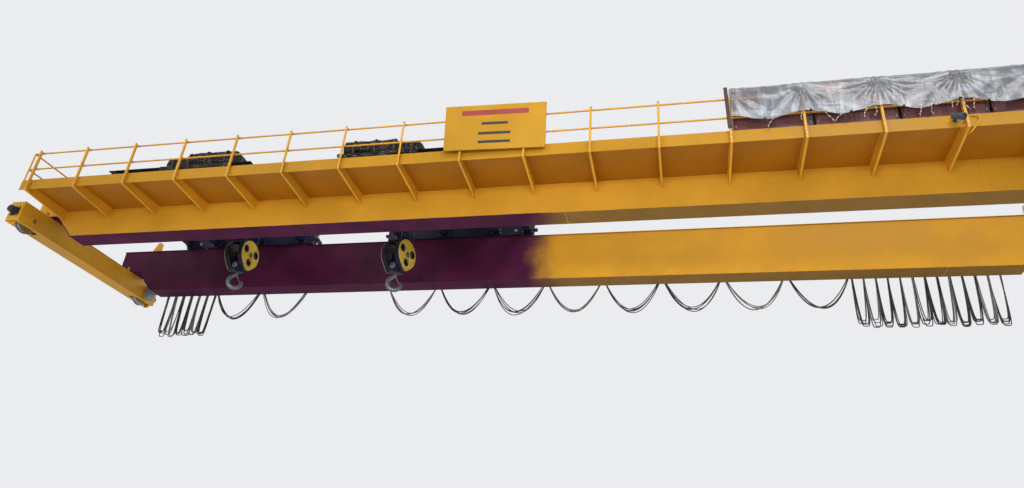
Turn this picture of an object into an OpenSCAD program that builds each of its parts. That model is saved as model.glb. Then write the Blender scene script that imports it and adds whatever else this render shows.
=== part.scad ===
// Double girder overhead travelling crane with two rope trolleys.
// X runs along the girders, Y along the runway, Z up.
// Origin: middle of the span and of the wheelbase, level with the runway rail heads.

/* [Bridge] */
// Span between the centres of the two runway rails
span = 27000; // [21000:1500:33000]
// Distance between the centres of the two girders
girder_gauge = 3530; // [3200:10:4200]
// Height of the girder underside above the runway rail heads
girder_lift = 30; // [0:5:100]

/* [Girders] */
// Girder height over the flanges
girder_h = 1400; // [1200:20:1700]
// Girder height over the flanges at the ends
girder_end_h = 740; // [640:10:840]
// Length of the sloped stretch of the underside
taper_run = 660; // [500:20:1000]
// Distance from the runway rail centre to the top of the slope
taper_gap = 490; // [350:10:700]
// How far the girders pass the runway rail centre
girder_over = 250; // [220:10:400]
// Width over the webs
box_w = 500; // [420:10:600]
// How far the flanges stand out past the webs
flange_lip = 30; // [15:5:60]
// Web plate thickness
web_t = 8; // [6:1:14]
// Top flange thickness
top_t = 16; // [10:1:30]
// Bottom flange thickness
bottom_t = 14; // [10:1:30]

/* [Trolley rails] */
// Rail height
rail_h = 75; // [55:5:95]
// Rail head width
rail_head = 65; // [45:5:75]
// Rail foot width
rail_foot = 175; // [120:5:200]
// Distance from the runway rail centre to the end stop's face
stop_gap = 800; // [700:20:1200]
// End stop height above the girder
stop_h = 420; // [380:10:500]

/* [End carriages] */
// Carriage width
car_w = 420; // [380:10:520]
// Carriage length
car_l = 5800; // [5500:50:6600]
// Carriage wall thickness
car_t = 10; // [8:1:16]
// Clear height under the carriage above the runway rail head
car_clear = 110; // [80:5:160]
// Distance between the two wheel centres of a carriage
wheelbase = 4900; // [4700:50:5000]
// Tread diameter of the bridge wheels
wheel_d = 630; // [560:10:640]
// Buffer length
buffer_l = 180; // [100:10:260]

/* [Walkway] */
// Distance from the girder web to the knee of the brackets
walk_w = 1500; // [1000:20:1700]
// Height of the floor's underside above the girder underside
walk_lift = 830; // [760:10:1000]
// Distance between brackets
post_pitch = 1500; // [1200:50:1800]
// Floor plate thickness
floor_t = 8; // [5:1:12]
// Edge plate height
edge_h = 300; // [200:10:340]
// How far the edge plate stands below the floor's underside
edge_drop = 144; // [100:4:180]
// Bracket depth at the knee below the floor's underside
knee_drop = 210; // [190:5:260]
// Bracket depth at the web below the floor's underside
root_drop = 312; // [280:4:400]

/* [Handrail] */
// Handrail height above the floor
rail_top_h = 1012; // [950:10:1200]
// Post width seen from the front
post_w = 50; // [40:2:70]
// Post depth
post_d = 90; // [70:5:110]
// Post and bracket plate thickness
post_t = 8; // [5:1:12]
// Handrail tube diameter
tube_d = 42; // [30:1:60]
// Handrail tube wall
tube_wall = 4; // [3:1:6]

/* [Sign board] */
// Board width
sign_w = 2390; // [1600:10:2800]
// Board height
sign_h = 1090; // [700:10:1200]
// Board thickness
sign_t = 30; // [15:5:50]
// Angle by which the board leans out at the top
sign_lean = 14; // [6:1:18]
// Angle by which the board hangs lower at its right end
sign_roll = 1.5; // [0:0.1:3]
// Distance of the board's middle from the middle of the bridge
sign_x = 58; // [-200:2:200]
// Distance between the arms behind the board
sign_arm_pitch = 600; // [400:20:700]

/* [Covered cabinets] */
// Width of one cabinet
cab_w = 1600; // [1000:50:1640]
// Cabinet depth
cab_d = 480; // [300:20:600]
// Cabinet height
cab_h = 1330; // [1150:10:1500]
// Free walkway between the last cabinet and the right end
cab_room = 1140; // [600:20:2000]
// Thickness of the sheet that hangs over them
sheet_t = 12; // [6:1:20]

/* [Lamp] */
// Diameter of the lamp housing
lamp_d = 120; // [80:5:160]
// Length of the lamp housing
lamp_l = 230; // [160:10:300]

/* [Trolleys] */
// Trolley length along the girders
trolley_l = 4500; // [4400:50:4600]
// Centre of the right trolley
right_x = -2340; // [-2400:20:0]
// Centre of the left trolley
left_x = -9360; // [-9500:20:-9340]
// Side beam width
beam_w = 240; // [210:10:300]
// Side beam height
beam_h = 400; // [380:10:440]
// Side beam plate thickness
beam_t = 12; // [8:1:16]
// Tread diameter of the trolley wheels
t_wheel_d = 400; // [360:10:420]
// Distance between the wheels of a trolley
t_wheelbase = 3500; // [3200:50:3700]
// Trolley buffer length
t_buffer_l = 120; // [80:5:140]
// Width of the outer deck beyond the side beam
deck_over = 415; // [200:10:500]

/* [Wrapped drives] */
// Length of the covered machinery on the outer deck
wrap_l = 2250; // [1800:50:2400]
// Length of its higher part
wrap_main = 1550; // [1000:50:1700]
// Width of the covered machinery
wrap_w = 730; // [500:10:800]
// Height of the covered machinery
wrap_h = 570; // [400:10:650]
// How much nearer to the middle of its trolley the left one stands
left_wrap_shift = 500; // [0:10:700]

/* [Hoists] */
// Distance from the trolley's inner end to the hook
hook_off = 1170; // [1100:10:1250]
// Rope diameter
rope_d = 20; // [14:1:24]
// Pitch diameter of the drum and of the block sheaves
sheave_d = 600; // [560:10:620]
// Pitch diameter of the equaliser sheave
equal_d = 410; // [360:10:440]
// Length of the drum's grooved barrel
drum_l = 2400; // [1800:50:2450]
// Height of the drum axis above the trolley rail
drum_rise = 745; // [700:5:800]
// Distance between the two rope sheaves of a block
sheave_gap = 410; // [380:10:460]

/* [Hook blocks] */
// Height of the right block's sheave axle above the runway rail
right_block_z = 130; // [-400:10:300]
// Height of the left block's sheave axle above the runway rail
left_block_z = 330; // [-400:10:400]
// How far the right block has turned on its ropes
right_turn = -13; // [-15:1:15]
// How far the left block has turned on its ropes
left_turn = -2; // [-15:1:15]
// Radius of the guard around the sheave
guard_r = 410; // [390:5:440]
// Guard plate thickness
guard_t = 10; // [6:1:14]
// Radius of the openings in the guard
guard_hole_r = 74; // [50:2:80]

/* [Hooks] */
// Mean radius of the hook's bowl
bowl_r = 180; // [160:5:210]
// Depth of the hook's section at the bottom
bowl_depth = 136; // [110:2:150]
// Shank diameter
shank_d = 90; // [70:2:100]
// Direction that the right hook's bowl points
right_hook_turn = 24; // [-180:1:180]
// Direction that the left hook's bowl points
left_hook_turn = 36; // [-180:1:180]

/* [Festoon] */
// Distance from the girder web to the track
track_off = 215; // [180:5:260]
// Height of the track's underside above the girder underside
track_lift = 350; // [300:10:500]
// Cable length between two carriers
loop_len = 3600; // [3300:50:3800]
// Distance between two carriers where they are parked
park_pitch = 290; // [240:10:300]
// Distance from the track's end to the right cable's last carrier
right_park_gap = 728; // [600:2:900]
// Distance from the track's end to the left cable's last carrier
left_park_gap = 518; // [400:2:900]
// Width of the flat cable pack
cable_w = 110; // [80:5:140]
// Thickness of the flat cable pack
cable_t = 26; // [16:2:36]

/* [Hidden] */
$fn = 48;
fine = 96;

// Clearance at a seat, and running clearance of a shaft in its bore
seat = 0.3;
bore_gap = 0.5;
// How far a cutting tool passes the face that it cuts
through = 5;

// Colours
yellow = [0.93, 0.66, 0.11];
primer = [0.36, 0.12, 0.14];
navy = [0.09, 0.10, 0.17];
grey = [0.45, 0.47, 0.49];
dark = [0.13, 0.13, 0.14];
steel = [0.55, 0.53, 0.50];
rubber = [0.06, 0.06, 0.06];
film = [0.80, 0.83, 0.88];

// Levels and places that follow from the sizes above
girder_top = girder_lift + girder_h;
car_top = girder_top - girder_end_h;
rise = girder_h - girder_end_h;
slope = atan2(rise, taper_run);
slope_x2 = span / 2 - taper_gap;
slope_x1 = slope_x2 - taper_run;
girder_x = span / 2 + girder_over;
flange_w = box_w + 2 * flange_lip;
front_y = -girder_gauge / 2;
rear_y = girder_gauge / 2;
web_y = front_y - box_w / 2;
back_web_y = rear_y + box_w / 2;
rail_z = girder_top + rail_h;
stop_x = span / 2 - stop_gap;

// Module for a plate whose outline lies in X and Z
module plate_xz(points, w) {
    rotate([90, 0, 0]) linear_extrude(w, center = true) polygon(points);
}

// Module for a bar along X whose outline lies in Y and Z
module bar_x(points, l) {
    rotate([90, 0, 90]) linear_extrude(l, center = true) polygon(points);
}

// Round bar along X or Y
module rod_x(d, l, sides = fine) {
    rotate([0, 90, 0]) cylinder(d = d, h = l, center = true, $fn = sides);
}

module rod_y(d, l, sides = fine) {
    rotate([90, 0, 0]) cylinder(d = d, h = l, center = true, $fn = sides);
}

// Block given by its lowest and highest corner
module block(low, high) {
    translate(low) cube([high.x - low.x, high.y - low.y, high.z - low.z]);
}

// Round bar from one point to another
module rod_between(a, b, d) {
    v = b - a;
    l = norm(v);
    translate(a) rotate([0, acos(v.z / l), atan2(v.y, v.x)]) cylinder(d = d, h = l);
}

// Mirrors what follows to the left when side is -1
module sided(side) {
    mirror([side < 0 ? 1 : 0, 0, 0]) children();
}

// GIRDERS

// Right half of the underside's line, raised by t square to the plates
function under_half(t) = [
    [girder_x, car_top + t],
    [slope_x2 - t * tan(slope / 2), car_top + t],
    [slope_x1 - t * tan(slope / 2), girder_lift + t]
];

function flipped(points) = [for (i = [len(points) - 1:-1:0]) [-points[i].x, points[i].y]];
function reversed(points) = [for (i = [len(points) - 1:-1:0]) points[i]];
function under_line(t) = concat(under_half(t), flipped(under_half(t)));

module girder_webs(y) {
    outline = concat(
        [[-girder_x, girder_top - top_t], [girder_x, girder_top - top_t]],
        under_line(bottom_t)
    );
    for (s = [-1, 1])
        translate([0, y + s * (box_w - web_t) / 2, 0]) plate_xz(outline, web_t);
}

module girder_flanges(y) {
    translate([0, y, 0]) {
        plate_xz(concat(under_line(0), reversed(under_line(bottom_t))), flange_w);
        block([-girder_x, -flange_w / 2, girder_top - top_t],
            [girder_x, flange_w / 2, girder_top]);
    }
}

module girder_end_plates() {
    plate_t = 12;
    inset = 20;
    color(yellow)
        for (y = [front_y, rear_y], s = [0, 1])
            mirror([s, 0, 0])
                block([girder_x - inset - plate_t, y - box_w / 2 + web_t, car_top + bottom_t],
                    [girder_x - inset, y + box_w / 2 - web_t, girder_top - top_t]);
}

module trolley_rails() {
    foot_t = rail_h / 6;
    head_t = rail_h / 3;
    neck = rail_head / 2;
    profile = [
        [-rail_foot / 2, 0], [rail_foot / 2, 0], [rail_foot / 2, foot_t * 0.6],
        [neck / 2, foot_t * 1.6], [neck / 2, rail_h - head_t * 1.3],
        [rail_head / 2, rail_h - head_t], [rail_head / 2, rail_h],
        [-rail_head / 2, rail_h], [-rail_head / 2, rail_h - head_t],
        [-neck / 2, rail_h - head_t * 1.3], [-neck / 2, foot_t * 1.6],
        [-rail_foot / 2, foot_t * 0.6]
    ];
    color(steel)
        for (y = [front_y, rear_y])
            translate([0, y, girder_top]) bar_x(profile, 2 * stop_x);
}

module trolley_end_stops() {
    foot = 260;
    head = 60;
    w = 160;
    color(yellow)
        for (y = [front_y, rear_y], s = [0, 1])
            mirror([s, 0, 0])
                translate([stop_x, y, girder_top])
                    plate_xz([[0, 0], [foot, 0], [head, stop_h], [0, stop_h]], w);
}

// END CARRIAGES

axle_d = 120;
housing_d = 280;
housing_t = 40;
wheel_z = wheel_d / 2;

module at_bridge_wheels() {
    for (sx = [-1, 1], sy = [-1, 1])
        translate([sx * span / 2, sy * wheelbase / 2, wheel_z]) children();
}

module end_carriages() {
    slot_l = wheel_d + 130;
    slot_w = 190;
    color(yellow)
        difference() {
            union() {
                for (s = [-1, 1])
                    block([s * span / 2 - car_w / 2, -car_l / 2, car_clear],
                        [s * span / 2 + car_w / 2, car_l / 2, car_top]);
                at_bridge_wheels() rod_x(housing_d, car_w + 2 * housing_t);
            }
            for (s = [-1, 1])
                block([s * span / 2 - car_w / 2 + car_t, -car_l / 2 + car_t, car_clear + car_t],
                    [s * span / 2 + car_w / 2 - car_t, car_l / 2 - car_t, car_top - car_t]);
            at_bridge_wheels() {
                rod_x(axle_d + 2 * bore_gap, car_w + 2 * housing_t + through);
                translate([-slot_w / 2, -slot_l / 2, car_clear - wheel_z - through])
                    cube([slot_w, slot_l, car_t + 2 * through]);
            }
        }
}

module bridge_wheels() {
    tread = 90;
    lip = 25;
    lip_d = wheel_d + 50;
    color(steel)
        at_bridge_wheels() {
            rod_x(wheel_d, tread + 2);
            for (s = [-1, 1]) translate([s * (tread + lip) / 2, 0, 0]) rod_x(lip_d, lip);
            rod_x(axle_d + 100, tread + 2 * lip + 60);
            rod_x(axle_d, car_w + 2 * housing_t + 20);
        }
}

module carriage_buffers() {
    base = 260;
    base_t = 20;
    d = 200;
    color(rubber)
        for (sx = [-1, 1], sy = [0, 1])
            mirror([0, sy, 0])
                translate([sx * span / 2, car_l / 2, (car_clear + car_top) / 2]) {
                    block([-base / 2, 0, -base / 2], [base / 2, base_t, base / 2]);
                    translate([0, buffer_l / 2, 0]) rod_y(d, buffer_l);
                }
}

// Geared motor on the inner end of the rear axles
module bridge_drives() {
    gear_w = 150;
    gear_h = 430;
    gear_l = 300;
    motor_d = 240;
    motor_l = 420;
    out = car_w / 2 + housing_t + 10 + seat;
    color(grey)
        for (s = [0, 1])
            mirror([s, 0, 0])
                translate([span / 2 - out, wheelbase / 2, wheel_z]) {
                    block([-gear_w, -gear_l / 2, -gear_l / 2],
                        [0, gear_l / 2, gear_h - gear_l / 2]);
                    translate([-gear_w - motor_l / 2, 0, gear_h - gear_l])
                        rod_x(motor_d, motor_l + 2);
                    for (k = [0:5])
                        translate([-gear_w - 60 - k * 55, 0, gear_h - gear_l])
                            rod_x(motor_d + 30, 12);
                    translate([-gear_w - motor_l, 0, gear_h - gear_l])
                        rod_x(motor_d - 50, 120);
                }
}

// WALKWAY

walk_z = girder_lift + walk_lift;
knee_y = web_y - walk_w;
edge_y = knee_y + post_d;
edge_t = post_t;
knee_z = walk_z - knee_drop;
root_z = walk_z - root_drop;
edge_z = walk_z - edge_drop;
post_count = 2 * floor((span / 2 - 700) / post_pitch + 0.5);
function post_x(i) = (i - (post_count - 1) / 2) * post_pitch;
walk_over = 300;
walk_x = post_x(post_count - 1) + walk_over;
rail_top = walk_z + floor_t + rail_top_h;
post_top = rail_top + tube_d / 2 + 11;
tube_y = edge_y + tube_d / 2;

module walkway_floor() {
    color(yellow)
        block([-walk_x, edge_y + edge_t, walk_z], [walk_x, web_y, walk_z + floor_t]);
}

module walkway_edge() {
    color(yellow)
        block([-walk_x, edge_y, edge_z], [walk_x, edge_y + edge_t, edge_z + edge_h]);
}

// Tapered plate with a flange along its lower edge
module walkway_brackets() {
    plate = [
        [knee_y + post_t, knee_z + post_t], [web_y, root_z + post_t], [web_y, walk_z],
        [edge_y + edge_t, walk_z], [edge_y + edge_t, edge_z], [knee_y + post_t, edge_z]
    ];
    flange = [
        [knee_y + post_t, knee_z], [web_y, root_z],
        [web_y, root_z + post_t], [knee_y + post_t, knee_z + post_t]
    ];
    color(yellow)
        for (i = [0:post_count - 1])
            translate([post_x(i), 0, 0]) {
                translate([(post_t - post_w) / 2, 0, 0]) bar_x(plate, post_t);
                bar_x(flange, post_w);
            }
}

// Angle posts that carry on from the brackets
module handrail_posts() {
    color(yellow)
        for (i = [0:post_count - 1])
            translate([post_x(i), 0, 0]) {
                block([-post_w / 2, knee_y, knee_z], [post_w / 2, knee_y + post_t, post_top]);
                block([-post_w / 2, knee_y + post_t, edge_z],
                    [post_t - post_w / 2, edge_y, post_top]);
            }
}

// Top and middle rail, with a frame that closes each end of the walkway
module handrail_rails() {
    mid = walk_z + floor_t + rail_top_h / 2;
    end_x = walk_x - tube_d / 2;
    leg_y = web_y - flange_lip - tube_d / 2 - seat;
    low = walk_z + floor_t;
    bore = tube_d - 2 * tube_wall;
    color(yellow) {
        for (z = [rail_top, mid])
            translate([0, tube_y, z]) difference() {
                rod_x(tube_d, 2 * (end_x - tube_d / 2 - seat), 32);
                rod_x(bore, 2 * end_x, 32);
            }
        for (s = [-1, 1]) {
            for (z = [rail_top, mid])
                rod_between([s * end_x, tube_y, z], [s * end_x, leg_y, z], tube_d);
            rod_between([s * end_x, leg_y, low], [s * end_x, leg_y, rail_top], tube_d);
            rod_between([s * end_x, tube_y, edge_z + edge_h + seat],
                [s * end_x, tube_y, rail_top], tube_d);
            for (y = [tube_y, leg_y])
                translate([s * end_x, y, rail_top]) sphere(d = tube_d, $fn = 32);
        }
    }
}

// SIGN BOARD

sign_z = 865;

module at_sign() {
    translate([sign_x, knee_y - seat, sign_z]) rotate([sign_lean, 0, 0])
        translate([0, 0, sign_w / 2 * sin(sign_roll)]) rotate([0, sign_roll, 0]) children();
}

module sign_board() {
    color(yellow)
        at_sign() block([-sign_w / 2, -sign_t, 0], [sign_w / 2, 0, sign_h]);
}

// Flat arms from the top rail to the back of the board
module sign_arms() {
    arm_t = 8;
    arm_h = 50;
    reach = rail_top - sign_z;
    back_y = knee_y - seat - reach * tan(sign_lean);
    clip = tube_d + 2 * arm_t;
    color(yellow)
        for (i = [-1.5:1.5])
            translate([sign_x + i * sign_arm_pitch, 0, rail_top]) difference() {
                union() {
                    bar_x([[back_y + seat - arm_h / 2 * tan(sign_lean), arm_h / 2],
                        [back_y + seat + arm_h / 2 * tan(sign_lean), -arm_h / 2],
                        [tube_y, -arm_h / 2], [tube_y, arm_h / 2]], arm_t);
                    translate([0, tube_y, 0]) rod_x(clip, 60, 48);
                }
                translate([0, tube_y, 0]) rod_x(tube_d + 2 * seat, 100, 48);
            }
}

// COVERED CABINETS

cab_gap = 60;
cab_count = 4;
cab_y = edge_y + tube_d + 30;
cab_z = walk_z + floor_t;
cab_end = walk_x - cab_room;
cab_x = cab_end - cab_count * cab_w - (cab_count - 1) * cab_gap;

module walkway_cabinets() {
    plinth = 100;
    wall = 4;
    door_t = 12;
    color(primer)
        for (i = [0:cab_count - 1])
            translate([cab_x + i * (cab_w + cab_gap), cab_y, cab_z]) {
                difference() {
                    block([30, 30, 0], [cab_w - 30, cab_d - 30, plinth + 1]);
                    block([30 + wall, 30 + wall, -through],
                        [cab_w - 30 - wall, cab_d - 30 - wall, plinth]);
                }
                difference() {
                    block([0, 0, plinth], [cab_w, cab_d, cab_h]);
                    block([wall, door_t + wall, plinth + wall],
                        [cab_w - wall, cab_d - wall, cab_h - wall]);
                    for (k = [0, 1])
                        block([40 + k * cab_w / 2, -through, plinth + 60],
                            [cab_w / 2 - 40 + k * cab_w / 2, door_t, cab_h - 60]);
                }
            }
}

// Sheet laid over the cabinets and hung outside the handrail
module cover_sheet() {
    top = cab_z + cab_h + seat;
    hem = walk_z + floor_t + rail_top_h / 2 - 60;
    out = knee_y - 15;
    fold = post_top + 12;
    back = cab_y + cab_d + seat;
    back_hem = top - 700;
    inner = [
        [back, back_hem], [back, top], [cab_y - 10, top], [out, fold], [out, hem]
    ];
    outer = [
        [out - sheet_t, hem], [out - sheet_t, fold + 10], [cab_y - 20, top + sheet_t],
        [back + sheet_t, top + sheet_t], [back + sheet_t, back_hem]
    ];
    color(film)
        translate([(cab_x + cab_end) / 2, 0, 0])
            bar_x(concat(inner, outer), cab_end - cab_x + 100);
}

// Lamp on a bent tube that stands on the edge plate
module walkway_lamp() {
    lamp_x = cab_end - 2350;
    neck = 34;
    top = edge_z + edge_h;
    color(grey) {
        translate([lamp_x, edge_y - 170, top - 150]) rotate([0, 0, -50]) rotate([0, 125, 0]) {
            cylinder(d = lamp_d, h = lamp_l, center = true, $fn = fine);
            translate([0, 0, lamp_l / 2 - 25]) difference() {
                cylinder(d = lamp_d + 30, h = 50, $fn = fine);
                translate([0, 0, 15]) cylinder(d = lamp_d, h = 50, $fn = fine);
            }
        }
        block([lamp_x - 40, edge_y - 12, top - 180], [lamp_x + 40, edge_y - seat, top - 60]);
        rod_between([lamp_x, edge_y - 10, top - 120], [lamp_x, edge_y - 150, top - 120], neck);
    }
}

// FESTOON

track_w = 44;
track_h = 44;
track_y = back_web_y + track_off;
track_z = girder_lift + track_lift;
tow_w = 60;
tow_local = -trolley_l / 2 + tow_w / 2 + 2;
// Drawn out and parked loops of the right and the left cable
open_loops = [8, 2];
park_loops = [12, 6];

function tow_x(side) = side > 0 ? right_x + tow_local : -(left_x - tow_local);

// Distance between two carriers where the cable is drawn out, up to the parked loops
function open_pitch(side) = (stop_x - 50 - (side > 0 ? right_park_gap : left_park_gap)
    - park_loops[side > 0 ? 0 : 1] * park_pitch - tow_x(side)) / open_loops[side > 0 ? 0 : 1];

// Sag of a cable of the festoon's length across a gap w
function sag(w) = w * sqrt(3 / 8 * (loop_len / w - 1));
function loop_sag(w) = w > loop_len / 4 ? sag(w) : (loop_len - 1.2 * w) / 2;

module festoon_track() {
    slot = 16;
    wall = 4;
    arm_pitch = 3000;
    arms = floor((stop_x - 200) / arm_pitch);
    lip = (track_w - slot) / 2;
    h = track_h;
    w = track_w;
    profile = [
        [0, 0], [lip, 0], [lip, wall], [wall, wall], [wall, h - wall], [w - wall, h - wall],
        [w - wall, wall], [w - lip, wall], [w - lip, 0], [w, 0], [w, h], [0, h]
    ];
    color(grey) {
        translate([0, track_y - w / 2, track_z]) bar_x(profile, 2 * stop_x - 100);
        for (i = [-arms:arms])
            translate([i * arm_pitch, 0, track_z + h]) {
                block([-25, back_web_y, 0], [25, track_y + w / 2, 8]);
                bar_x([[back_web_y, 8], [back_web_y, 160], [back_web_y + 8, 160],
                    [track_y, 8]], 8);
                block([-25, back_web_y, 0], [25, back_web_y + 8, 160]);
            }
    }
}

// One loop between two carriers, drawn as its centre line and thickened downwards
module cable_loop(x, w) {
    d = loop_sag(w);
    steps = 14;
    inner = [for (i = [0:steps]) let (u = i / steps * 2 - 1) [x + w / 2 * (1 + u),
        -d * (1 - pow(abs(u), w < 600 ? 6 : 2))]];
    pull = w < 600 ? cable_t / 2 : 0;
    outer = [for (i = [steps:-1:0]) let (u = i / steps * 2 - 1) [x + w / 2 * (1 + u)
        + pull * u, -cable_t - d * (1 - pow(abs(u), w < 600 ? 6 : 2))]];
    plate_xz(concat(inner, outer), cable_w);
}

// Carrier with a saddle that clamps the cable
module carrier(x) {
    block([x - 70, -cable_w / 2, 0], [x + 70, cable_w / 2, 20]);
    block([x - 50, -6, 20], [x + 50, 6, 60 - seat]);
}

module festoon(side) {
    n_open = open_loops[side > 0 ? 0 : 1];
    n_park = park_loops[side > 0 ? 0 : 1];
    x0 = tow_x(side);
    pitch = open_pitch(side);
    x1 = x0 + n_open * pitch;
    color(dark)
        sided(side) translate([0, track_y, track_z - 60]) {
            for (i = [0:n_open - 1]) cable_loop(x0 + i * pitch, pitch);
            for (i = [0:n_park - 1]) cable_loop(x1 + i * park_pitch, park_pitch);
            for (i = [0:n_open]) carrier(x0 + i * pitch);
            for (i = [1:n_park]) carrier(x1 + i * park_pitch);
        }
}

// TROLLEYS

beam_z = rail_z + 55;
wrap_x = -trolley_l / 2 + 50;
beam_top = beam_z + beam_h;
t_axle_z = rail_z + t_wheel_d / 2 + seat;
t_axle_d = 80;
cross_w = 220;
cross_h = 260;
cross_z = beam_z + 80;
cross_top = cross_z + cross_h;
cross_x = [-1850, -450, 1150, 2100];
beam_in = girder_gauge / 2 - beam_w / 2;
beam_out = girder_gauge / 2 + beam_w / 2;
deck_t = 6;
stand_t = 110;
drum_gap = 90;
drum_rim = 24;
drum_boss = 30;
drum_z = rail_z + drum_rise;
hook_local = -trolley_l / 2 + hook_off;
equal_z = cross_z + 160;

function trolley_x(side) = side > 0 ? right_x : left_x;

module at_trolley(side) {
    translate([trolley_x(side), 0, 0]) sided(side) children();
}

module trolley_side_beams(side) {
    w = beam_w;
    t = beam_t;
    h = beam_h;
    profile = [
        [-w / 2, 0], [t - w / 2, 0], [t - w / 2, h - t], [w / 2 - t, h - t],
        [w / 2 - t, 0], [w / 2, 0], [w / 2, h], [-w / 2, h]
    ];
    color(navy)
        at_trolley(side)
            for (sy = [-1, 1])
                translate([0, sy * girder_gauge / 2, beam_z]) difference() {
                    union() {
                        bar_x(profile, trolley_l);
                        for (sx = [0, 1])
                            mirror([sx, 0, 0])
                                block([trolley_l / 2 - t, -w / 2, 0],
                                    [trolley_l / 2, w / 2, h]);
                    }
                    for (sx = [-1, 1])
                        translate([sx * t_wheelbase / 2, 0, t_axle_z - beam_z])
                            rod_y(t_axle_d + 2 * bore_gap, w + through);
                }
}

module trolley_wheels(side) {
    tread = rail_head + 20;
    lip = 20;
    cap = 30;
    color(steel)
        at_trolley(side)
            for (sx = [-1, 1], sy = [-1, 1])
                translate([sx * t_wheelbase / 2, sy * girder_gauge / 2, t_axle_z]) {
                    rod_y(t_wheel_d, tread + 2);
                    for (s = [-1, 1])
                        translate([0, s * (tread + lip) / 2, 0]) rod_y(t_wheel_d + 40, lip);
                    translate([0, sy * cap / 2, 0]) rod_y(t_axle_d, beam_w + cap);
                    translate([0, sy * (beam_w / 2 + cap / 2 + seat), 0])
                        rod_y(t_axle_d + 70, cap);
                }
}

module trolley_buffers(side) {
    color(rubber)
        at_trolley(side)
            for (sx = [0, 1], sy = [-1, 1])
                mirror([sx, 0, 0])
                    translate([trolley_l / 2, sy * girder_gauge / 2, beam_z + beam_h / 2]) {
                        translate([8, 0, 0]) rod_x(150, 16);
                        translate([t_buffer_l / 2, 0, 0]) rod_x(110, t_buffer_l);
                    }
}

// Cross beams and the stand for the drum's bearing
module trolley_cross_beams(side) {
    wall = 10;
    axis_z = drum_z - cross_top - seat;
    color(navy)
        at_trolley(side) {
            for (x = cross_x)
                difference() {
                    block([x - cross_w / 2, -beam_in, cross_z],
                        [x + cross_w / 2, beam_in, cross_top]);
                    block([x - cross_w / 2 + wall, -beam_in - through, cross_z + wall],
                        [x + cross_w / 2 - wall, beam_in + through, cross_top - wall]);
                }
            translate([cross_x[0], 0, cross_top + seat]) difference() {
                union() {
                    bar_x([[-240, 0], [240, 0], [240, 30], [120, axis_z], [-120, axis_z],
                        [-240, 30]], stand_t);
                    translate([0, 0, axis_z]) rod_x(260, stand_t);
                }
                translate([0, 0, axis_z]) rod_x(140 + 2 * bore_gap, stand_t + through);
            }
        }
}

module trolley_deck(side) {
    gusset_t = 10;
    out = beam_out + deck_over;
    outer_x = trolley_l / 2 - 250;
    inner_x = trolley_l * 0.155;
    color(navy)
        at_trolley(side) {
            block([-trolley_l / 2, -out, beam_top],
                [trolley_l / 2, -girder_gauge / 2 + 300, beam_top + deck_t]);
            block([-trolley_l / 2, girder_gauge / 2 - 300, beam_top],
                [trolley_l / 2, beam_out + 60, beam_top + deck_t]);
            for (x = [-outer_x, -inner_x, inner_x, outer_x])
                translate([x, 0, 0])
                    bar_x([[-beam_out, beam_top], [-out + 20, beam_top],
                        [-out + 20, beam_top - 50], [-beam_out, beam_top - 260]], gusset_t);
        }
}

// Arm that pulls the first cable carrier along
module tow_arm(side) {
    arm = tow_w;
    top = cross_z + 180;
    out_y = track_y + cable_w / 2 + 40;
    toe_z = track_z - 55;
    toe_y = track_y + cable_w / 2 + seat;
    color(navy)
        at_trolley(side)
            translate([tow_local, 0, 0])
                bar_x([
                    [beam_out, top], [out_y + arm, top], [out_y + arm, toe_z],
                    [toe_y, toe_z], [toe_y, toe_z + 30], [out_y, toe_z + 30],
                    [out_y, top - arm], [beam_out, top - arm]
                ], arm);
}

// Grooved barrel between two end rims, with a journal at each end
module hoist_drum(side) {
    first = cross_x[0] + cross_w / 2 + drum_gap;
    crest = sheave_d / 2 - rope_d / 2 - 0.5;
    pitch = rope_d + 5;
    grooves = floor((drum_l - 80) / pitch);
    root = crest - 6;
    start = (drum_l - grooves * pitch) / 2;
    rim = drum_rim;
    rim_r = crest + 45;
    journal = first - cross_x[0] + stand_t / 2;
    grooved = [for (i = [0:grooves - 1]) each [
        [crest, start + i * pitch], [root, start + (i + 0.5) * pitch]
    ]];
    profile = concat(
        [[0, -journal], [70, -journal], [70, -rim], [rim_r, -rim], [rim_r, 0], [crest, 0]],
        grooved,
        [[crest, start + grooves * pitch], [crest, drum_l], [rim_r, drum_l],
            [rim_r, drum_l + rim], [70, drum_l + rim], [70, drum_l + rim + drum_boss],
            [0, drum_l + rim + drum_boss]]
    );
    color(grey)
        at_trolley(side)
            translate([first, 0, drum_z]) rotate([0, 90, 0]) difference() {
                rotate_extrude($fn = fine) polygon(profile);
                translate([0, 0, 20]) cylinder(r = root - 18, h = drum_l - 40, $fn = fine);
            }
}

// Outline of two circles with their outer tangents, the smaller one at -d along Y
module drop(r_big, r_small, d) {
    a = asin((r_big - r_small) / d);
    n = [cos(a), -sin(a)];
    circle(r = r_big, $fn = fine);
    translate([0, -d]) circle(r = r_small, $fn = fine);
    polygon([r_big * n, [0, -d] + r_small * n, [-r_small * n.x, -d + r_small * n.y],
        [-r_big * n.x, r_big * n.y]]);
}

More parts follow.
